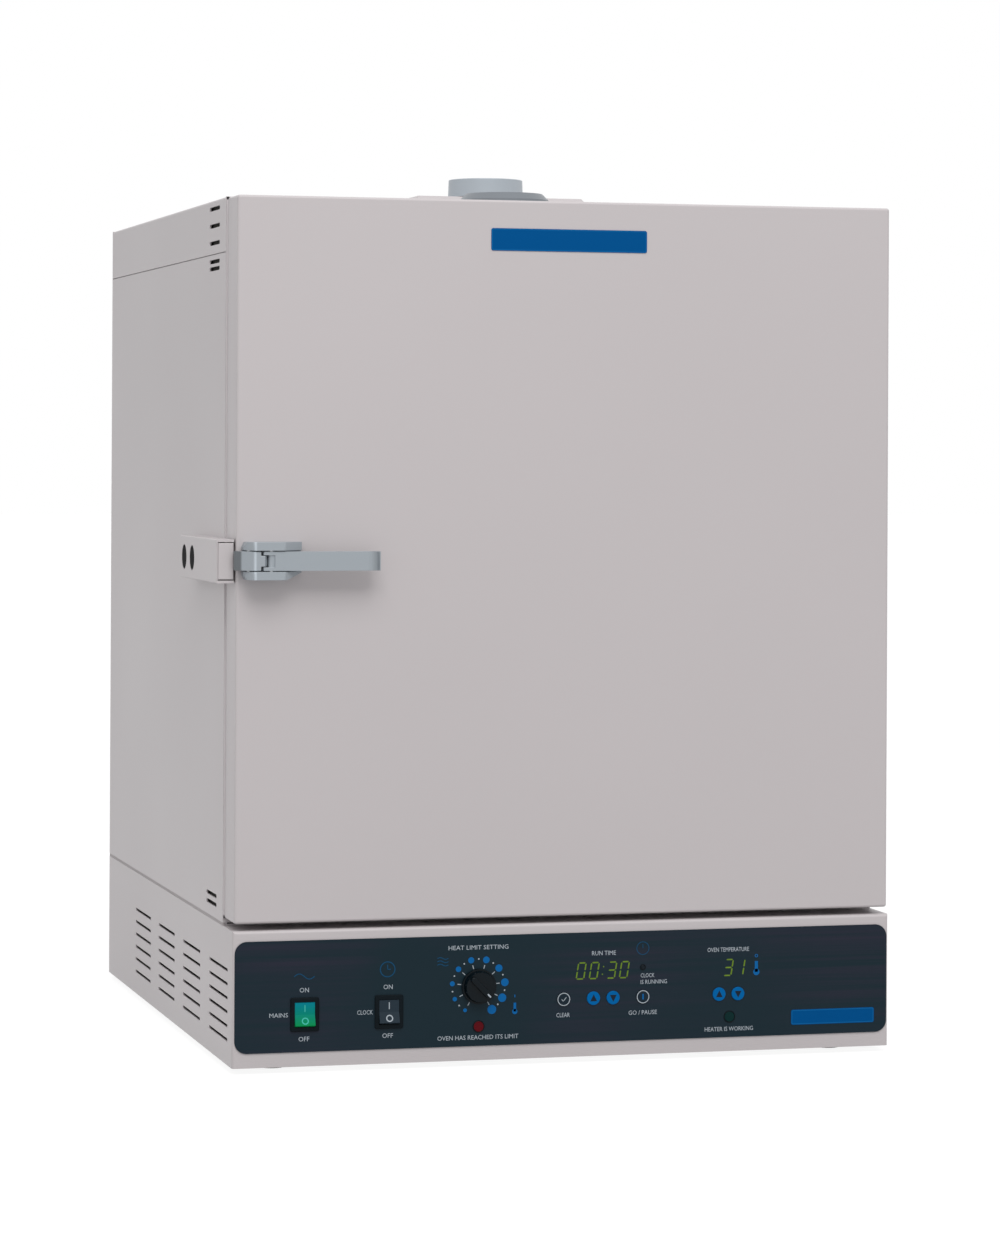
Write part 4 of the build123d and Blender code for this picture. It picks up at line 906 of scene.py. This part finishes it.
# Push keys: moulded caps that come through holes in the panel and press switches on the
# board. Four are blue with a dark printed arrow, two are dark with a white ring.
key_blue = make_finish(
    "blue key plastic",
    rubber_skin,
    {"Colour": colour(0, 102, 170), "Drift": 0.15, "Grain": 1400.0, "Roughness": 0.5},
    gloss=0.06,
)
key_dark = make_finish(
    "dark key plastic",
    rubber_skin,
    {"Colour": colour(26, 40, 50), "Drift": 0.2, "Grain": 1400.0, "Roughness": 0.45},
    gloss=0.1,
)
dress(key_blue, "timer_up_key", "timer_down_key", "temperature_up_key", "temperature_down_key")
dress(key_dark, "reset_key", "start_key")
arrow_ink = flat_ink("dark arrow ink", colour(16, 30, 44))
key_lift = 1.2
key_z = 56.6
arrow_half, arrow_foot, arrow_tip = 3.4, 2.8, 3.9
for key_name, x, way in (
    ("timer_up_key", 358.7, 1),
    ("timer_down_key", 378.7, -1),
    ("temperature_up_key", 487.7, 1),
    ("temperature_down_key", 507.2, -1),
):
    foot_z = key_z - arrow_foot * way
    arrow = [(x - arrow_half, foot_z), (x + arrow_half, foot_z), (x, key_z + arrow_tip * way)]
    if way < 0:
        arrow.reverse()
    shape = print_shape(arrow, key_lift)
    join_pieces(key_name + "_arrow", arrow_ink, key_name, [shape])
for key_name, x in (("reset_key", 328.4), ("start_key", 409.1)):
    key_marks = [print_ring(x, key_z, radius=6.0, width=0.8, lift=key_lift)]
    if key_name == "reset_key":
        tick = ((x - 2.2, key_z), (x - 0.6, key_z - 1.8), (x + 2.6, key_z + 2.0))
        key_marks += print_path(tick, width=0.6, lift=key_lift)
    join_pieces(key_name + "_ring", white_ink, key_name, key_marks)
    if key_name == "start_key":
        stroke = print_line(x, key_z - 2.6, x, key_z + 2.8, width=1.4, lift=key_lift)
        join_pieces("start_key_bar", blue_ink, key_name, [stroke])

# Latch: bracket, lever and hook are satin grey die castings on bright steel pins. They carry
# a painted highlight where bracket and hook bend at the left, and painted shade where the
# hook runs into the strike and in the scoop of the lever's end.
band_fade = 1.4
no_painted_shade = -10.0
painted_end_shade = 0.4
end_fade = 400
cast_inputs = [
    ("Middle", "NodeSocketFloat", 0.0),
    ("Half", "NodeSocketFloat", 0.001),
    ("Gain", "NodeSocketFloat", 1.0),
    ("Painted shade start", "NodeSocketFloat", no_painted_shade),
]
painted_light_casting, cast_in, cast_out = new_group(
    "Casting with painted light and shade", surface_inputs + cast_inputs, surface_outputs
)
cast_place = object_place(painted_light_casting)
cast_split = painted_light_casting.nodes.new("ShaderNodeSeparateXYZ")
painted_light_casting.links.new(cast_place, cast_split.inputs[0])
cast_grain = add_cloud(painted_light_casting, cast_place)
painted_light_casting.links.new(cast_in.outputs["Grain"], cast_grain.inputs["Scale"])
# A band along X, made lighter or darker by its gain: a painted highlight or painted shade.
cast_off = add_math(painted_light_casting, "SUBTRACT", cast_split.outputs["X"], cast_in.outputs["Middle"])
cast_off = add_math(painted_light_casting, "ABSOLUTE", cast_off, 0)
painted_band = add_math(painted_light_casting, "DIVIDE", cast_off, cast_in.outputs["Half"])
painted_band = add_math(painted_light_casting, "SUBTRACT", band_fade, painted_band)
painted_band = add_math(painted_light_casting, "MINIMUM", painted_band, 1.0)
painted_band = add_math(painted_light_casting, "MAXIMUM", painted_band, 0.0)
cast_change = add_math(painted_light_casting, "SUBTRACT", cast_in.outputs["Gain"], 1.0)
painted_light_and_grain = add_math(painted_light_casting, "MULTIPLY_ADD", painted_band, cast_change, 1.0)
# Painted shade on the part of the casting left of where it starts.
painted_shade_mask = add_math(painted_light_casting, "SUBTRACT", cast_split.outputs["X"], cast_in.outputs["Painted shade start"])
painted_shade_mask = add_math(painted_light_casting, "MULTIPLY_ADD", painted_shade_mask, end_fade, painted_end_shade)
painted_shade_mask = add_math(painted_light_casting, "MINIMUM", painted_shade_mask, 1.0)
painted_shade_mask = add_math(painted_light_casting, "MAXIMUM", painted_shade_mask, painted_end_shade)
painted_light_and_grain = add_math(painted_light_casting, "MULTIPLY", painted_light_and_grain, painted_shade_mask)
cast_fine = add_math(painted_light_casting, "SUBTRACT", cast_grain.outputs["Fac"], 0.5)
cast_fine = add_math(painted_light_casting, "MULTIPLY", cast_fine, cast_in.outputs["Drift"])
painted_light_and_grain = add_math(painted_light_casting, "ADD", painted_light_and_grain, cast_fine)
send_tint(painted_light_casting, cast_in.outputs["Colour"], painted_light_and_grain, cast_out.inputs["Colour"])
painted_light_casting.links.new(cast_in.outputs["Roughness"], cast_out.inputs["Roughness"])
painted_light_casting.links.new(cast_grain.outputs["Fac"], cast_out.inputs["Height"])
cast_tone = colour(160, 168, 174)
# Middles of the bend's painted highlight and the lever end's painted shade, and where the hook
# nose's painted shade starts.
bend_highlight_x = base_low.x + 15.5 * mm
lever_end_shade_x = base_low.x + 134 * mm
hook_nose_shade_x = base_low.x + 3 * mm
# Each casting with its band's middle, half width and gain (above 1 a painted highlight,
# below 1 painted shade), and where its painted shade at the left end starts.
for cast_name, middle, half, gain, shade_start in (
    ("latch_bracket", bend_highlight_x, 1.2 * mm, 1.5, no_painted_shade),
    ("latch_hook", bend_highlight_x, 1.2 * mm, 1.5, hook_nose_shade_x),
    ("latch_lever", lever_end_shade_x, 4 * mm, 0.82, no_painted_shade),
):
    dress(
        make_finish(
            cast_name.replace("_", " ") + " casting",
            painted_light_casting,
            {"Colour": cast_tone, "Drift": 0.1, "Grain": 1300.0, "Roughness": 0.4}
            | {"Middle": middle, "Half": half, "Gain": gain, "Painted shade start": shade_start},
            metallic=0.25,
        ),
        cast_name,
    )
ease_edges(0.5 * mm, "latch_bracket", "latch_lever", "latch_hook")
bright_steel = make_finish(
    "bright steel",
    powder_coat,
    {"Colour": colour(196, 198, 200), "Drift": 0.1, "Grain": 2000.0, "Roughness": 0.24},
    metallic=1.0,
    bump=0.03,
)
dress(bright_steel, "latch_pins")

# Hinges: two lift-off pairs of zinc-plated steel. The knuckle is rolled from the leaf,
# and the leaves are screwed to the door's edge and the cabinet's side.
dress(
    make_finish(
        "zinc plating",
        powder_coat,
        {"Colour": colour(158, 160, 163), "Drift": 0.3, "Grain": 700.0, "Roughness": 0.36},
        metallic=0.9,
        bump=0.05,
    ),
    "cabinet_hinges",
    "door_hinges",
)

# Strike plugs: two dark grey plastic caps, pushed into the strike's holes over the
# screws that hold it to the cabinet's side.
dress(
    make_finish(
        "dark grey plug",
        rubber_skin,
        {"Colour": colour(44, 44, 45), "Drift": 0.2, "Grain": 1200.0, "Roughness": 0.8},
        gloss=0.03,
    ),
    "strike_plugs",
)

# Roof: the vent's cap and shutter ring are turned metal in a satin grey finish, and the
# cap turns on its tube. The port's cover is a darker spun cone that rests in its port.
dress(
    make_finish(
        "grey vent finish",
        powder_coat,
        {"Colour": colour(170, 179, 186), "Drift": 0.2, "Grain": 1300.0, "Roughness": 0.4},
        metallic=0.2,
    ),
    "vent_cap",
    "shutter_ring",
)
dress(
    make_finish(
        "dark spun metal",
        powder_coat,
        {"Colour": colour(124, 130, 136), "Drift": 0.12, "Grain": 800.0, "Roughness": 0.36},
        metallic=0.3,
    ),
    "port_cover",
)

# Stainless pieces: chamber, door pan, diffuser, standards and tubes are bent and spot
# welded from brushed sheet, whose grain runs level. Shelves and probes are bright rod.
brushed, brush_in, brush_out = new_group("Brushed grain", surface_inputs, surface_outputs)
brush_rough_share = 0.2
brush_place = object_place(brushed)
brush_stretch = brushed.nodes.new("ShaderNodeMapping")
brush_stretch.inputs["Scale"].default_value = (0.02, 0.02, 1)
brushed.links.new(brush_place, brush_stretch.inputs["Vector"])
brush_line = add_cloud(brushed, brush_stretch.outputs["Vector"], detail=3)
brushed.links.new(brush_in.outputs["Grain"], brush_line.inputs["Scale"])
brush_cloud = add_cloud(brushed, brush_place, scale=7)
brush_shift = add_math(brushed, "SUBTRACT", brush_line.outputs["Fac"], 0.5)
brush_value = add_math(brushed, "MULTIPLY_ADD", brush_shift, brush_in.outputs["Drift"], 1.0)
send_tint(brushed, brush_in.outputs["Colour"], brush_value, brush_out.inputs["Colour"])
brush_patch = add_math(brushed, "SUBTRACT", brush_cloud.outputs["Fac"], 0.5)
brush_rough = add_math(
    brushed, "MULTIPLY_ADD", brush_patch, brush_rough_share, brush_in.outputs["Roughness"]
)
brushed.links.new(brush_rough, brush_out.inputs["Roughness"])
brushed.links.new(brush_line.outputs["Fac"], brush_out.inputs["Height"])

dress(
    make_finish(
        "brushed stainless",
        brushed,
        {"Colour": colour(190, 190, 188), "Drift": 0.2, "Grain": 900.0, "Roughness": 0.34},
        metallic=1.0,
        bump=0.06,
    ),
    "chamber",
    "door_inner_pan",
    "diffuser_plate",
    "shelf_standards",
    "exhaust_tube",
    "port_tube",
)
dress(
    bright_steel,
    "lower_shelf",
    "upper_shelf",
    "shelf_clips",
    "temperature_probe",
    "overtemp_bulb",
)

# Heating element: a steel-sheathed tube, bent in loops, browned by heat and held under
# the diffuser plate.
dress(
    make_finish(
        "heat-browned sheath",
        powder_coat,
        {"Colour": colour(92, 84, 78), "Drift": 0.5, "Grain": 400.0, "Roughness": 0.5},
        metallic=0.8,
    ),
    "heating_element",
)

# Door gasket: a pale silicone seal with a soft hollow edge, which lies on the pan round
# the plug and is pressed on the front frame when the door is latched.
dress(
    make_finish(
        "silicone seal",
        rubber_skin,
        {"Colour": colour(206, 202, 198), "Drift": 0.1, "Grain": 500.0, "Roughness": 0.6},
    ),
    "door_gasket",
)

# Seals: pale foam tape fills the step between the base and the cabinet at the sides and
# the back, and a pale silicone lip is pushed on the door's rear edge, but not at the hinges.
pale_foam = make_finish(
    "pale foam",
    rubber_skin,
    {"Colour": colour(190, 186, 186), "Drift": 0.1, "Grain": 800.0, "Roughness": 0.85},
    gloss=0.2,
)


def make_strip(low, high, soft):
    """A straight strip between two corners, with its edges softened."""
    bpy.ops.object.select_all(action="DESELECT")
    middle = [(low[axis] + high[axis]) / 2 for axis in range(3)]
    bpy.ops.mesh.primitive_cube_add(size=1, location=middle)
    strip = bpy.context.object
    strip.scale = [high[axis] - low[axis] for axis in range(3)]
    settle(strip)
    bpy.ops.object.mode_set(mode="EDIT")
    bpy.ops.mesh.select_all(action="SELECT")
    bpy.ops.mesh.bevel(offset=soft, segments=2)
    bpy.ops.object.mode_set(mode="OBJECT")
    return strip


wrap_low, wrap_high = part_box("cabinet_wrap")
step_recess = 0.25 * mm
step_depth = 2.5 * mm
step_height = 2.95 * mm
step_lap = 1 * mm
tape_edge = 0.3 * mm
step_left = base_low.x + step_recess
step_right = base_high.x - step_recess
step_back = base_high.y - step_recess
step_bottom = base_high.z
step_top = step_bottom + step_height
join_pieces(
    "base_seal_strip",
    pale_foam,
    "cabinet",
    [
        make_strip((low_x, low_y, step_bottom), (high_x, high_y, step_top), tape_edge)
        for low_x, high_x, low_y, high_y in (
            (step_left, step_left + step_depth, wrap_low.y, wrap_high.y),
            (step_right - step_depth, step_right, wrap_low.y, wrap_high.y),
            (step_left, step_right, wrap_high.y - step_lap, step_back),
        )
    ],
)
# The lip is coloured lighter than the paint: painted light, which lifts the shade in the seam
# beside the door.
painted_light_lip = make_finish(
    "pale silicone lip",
    rubber_skin,
    {"Colour": colour(214, 210, 211), "Drift": 0.1, "Grain": 800.0, "Roughness": 0.7},
    gloss=0.2,
)
frame_low, frame_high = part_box("front_frame")
lip_recess = 0.3 * mm
lip_depth = 3 * mm
lip_edge = 0.2 * mm
lip_lap = 0.1 * mm
lip_clearance = 0.2 * mm
hinge_margin = 10 * mm
lip_front = door_high.y - lip_lap
lip_back = frame_low.y - lip_clearance
lip_left = frame_low.x + lip_recess
lip_right = door_high.x - hinge_margin
lip_bottom = door_low.z + lip_recess
lip_top = frame_high.z - lip_recess
join_pieces(
    "door_seal_lip",
    painted_light_lip,
    "door",
    [
        make_strip((low_x, lip_front, low_z), (high_x, lip_back, high_z), lip_edge)
        for low_x, high_x, low_z, high_z in (
            (lip_left, lip_left + lip_depth, lip_bottom, lip_top),
            (lip_left, lip_right, lip_top - lip_depth, lip_top),
            (lip_left, lip_right, lip_bottom, lip_bottom + lip_depth),
        )
    ],
)

# Pan-head screws: zinc-plated steel with a cross recess. Ten hold the back panel, three
# the rear of the base's floor pan, and three each leaf of the two hinges.
screw_radius = 3.6 * mm
screw_height = 1.3 * mm
screw_crown_edge = 0.8 * mm
recess_size = (3.6 * mm, 0.8 * mm, 1.4 * mm)
bpy.ops.object.select_all(action="DESELECT")
bpy.ops.mesh.primitive_cylinder_add(vertices=28, radius=screw_radius, depth=screw_height)
screw = bpy.context.object
screw.location.z = screw_height / 2
settle(screw)
bpy.ops.object.mode_set(mode="EDIT")
bpy.ops.mesh.select_mode(type="FACE")
bpy.ops.mesh.select_all(action="DESELECT")
bpy.ops.object.mode_set(mode="OBJECT")
screw_crown = max(screw.data.polygons, key=lambda face: face.center.z)
screw_crown.select = True
bpy.ops.object.mode_set(mode="EDIT")
bpy.ops.mesh.bevel(offset=screw_crown_edge, segments=3)
bpy.ops.object.mode_set(mode="OBJECT")
for slot_turn in (0, math.pi / 2):
    bpy.ops.object.select_all(action="DESELECT")
    bpy.ops.mesh.primitive_cube_add(size=1, location=(0, 0, screw_height))
    cutter = bpy.context.object
    cutter.scale = recess_size
    cutter.rotation_euler.z = slot_turn
    settle(cutter)
    cross = screw.modifiers.new("cross", "BOOLEAN")
    cross.operation = "DIFFERENCE"
    cross.object = cutter
    bpy.context.view_layer.objects.active = screw
    bpy.ops.object.modifier_apply(modifier="cross")
    bpy.data.objects.remove(cutter)
bpy.ops.object.select_all(action="DESELECT")
screw.select_set(True)
bpy.context.view_layer.objects.active = screw
bpy.ops.object.shade_smooth_by_angle(angle=math.radians(35))


def drive_screws(name, body, places, turn):
    """Copies of the screw at their places, each turned to face out of its panel."""
    driven = []
    for place in places:
        copy = screw.copy()
        copy.data = screw.data.copy()
        bpy.context.scene.collection.objects.link(copy)
        copy.rotation_euler = turn
        copy.location = place
        driven.append(settle(copy))
    join_pieces(name, bright_steel, body, driven)


face_back = (-math.pi / 2, 0, 0)
face_right = (0, math.pi / 2, 0)
panel_low, panel_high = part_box("back_panel")
panel_middle = (panel_low.x + panel_high.x) / 2
panel_edge = 10 * mm
panel_rows = [panel_low.z + rise * mm for rise in (12, 240, 465, 690)]
panel_screws = []
for height in panel_rows:
    panel_screws.append((panel_low.x + panel_edge, panel_high.y, height))
    panel_screws.append((panel_high.x - panel_edge, panel_high.y, height))
for height in (panel_rows[0], panel_rows[-1]):
    panel_screws.append((panel_middle, panel_high.y, height))
drive_screws("back_panel_screws", "cabinet", panel_screws, face_back)
floor_row = base_low.z + 8 * mm
floor_screws = [(panel_middle + x * mm, base_high.y, floor_row) for x in (-300, 0, 300)]
drive_screws("floor_pan_screws", "cabinet", floor_screws, face_back)
leaf_half = 32 * mm
leaf_sheet = 2.5 * mm
leaf_inset = 17 * mm
screw_pitch = 22 * mm
cabinet_leaf_x = base_high.x + leaf_sheet
door_leaf_x = door_high.x + leaf_sheet
hinge_low, hinge_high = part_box("cabinet_hinges")
door_leaf_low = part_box("door_hinges")[0]
leaf_middles = (hinge_low.z + leaf_half, hinge_high.z - leaf_half)
leaf_rows = [middle + row * screw_pitch for middle in leaf_middles for row in (-1, 0, 1)]
drive_screws(
    "cabinet_hinge_screws",
    "cabinet",
    [(cabinet_leaf_x, hinge_high.y - leaf_inset, height) for height in leaf_rows],
    face_right,
)
drive_screws(
    "door_hinge_screws",
    "door",
    [(door_leaf_x, door_leaf_low.y + leaf_inset, height) for height in leaf_rows],
    face_right,
)
bpy.data.objects.remove(screw)

# Insulation: mineral wool, cut in batts and packed between the sheets. It is coloured dark
# as painted shade, so the small side slots that look in on it read as dark lines.
# The wool's dark colour is painted shade for the slots that look in on it.
dress(
    make_finish(
        "mineral wool",
        powder_coat,
        {"Colour": colour(40, 38, 34), "Drift": 0.4, "Grain": 160.0, "Roughness": 0.95},
        bump=0.6,
        depth=0.002,
    ),
    "insulation_blanket",
    "rear_insulation",
    "door_insulation",
)

# Electrical parts: a green lacquered circuit board on posts, and a transformer of dark
# varnished iron sheets. Both are screwed to the base's floor pan.
dress(
    make_finish(
        "green board",
        rubber_skin,
        {"Colour": colour(24, 84, 50), "Drift": 0.2, "Grain": 400.0, "Roughness": 0.4},
    ),
    "control_board",
)
dress(
    make_finish(
        "varnished iron",
        brushed,
        {"Colour": colour(58, 50, 44), "Drift": 0.4, "Grain": 1500.0, "Roughness": 0.45},
        metallic=0.6,
    ),
    "transformer",
)
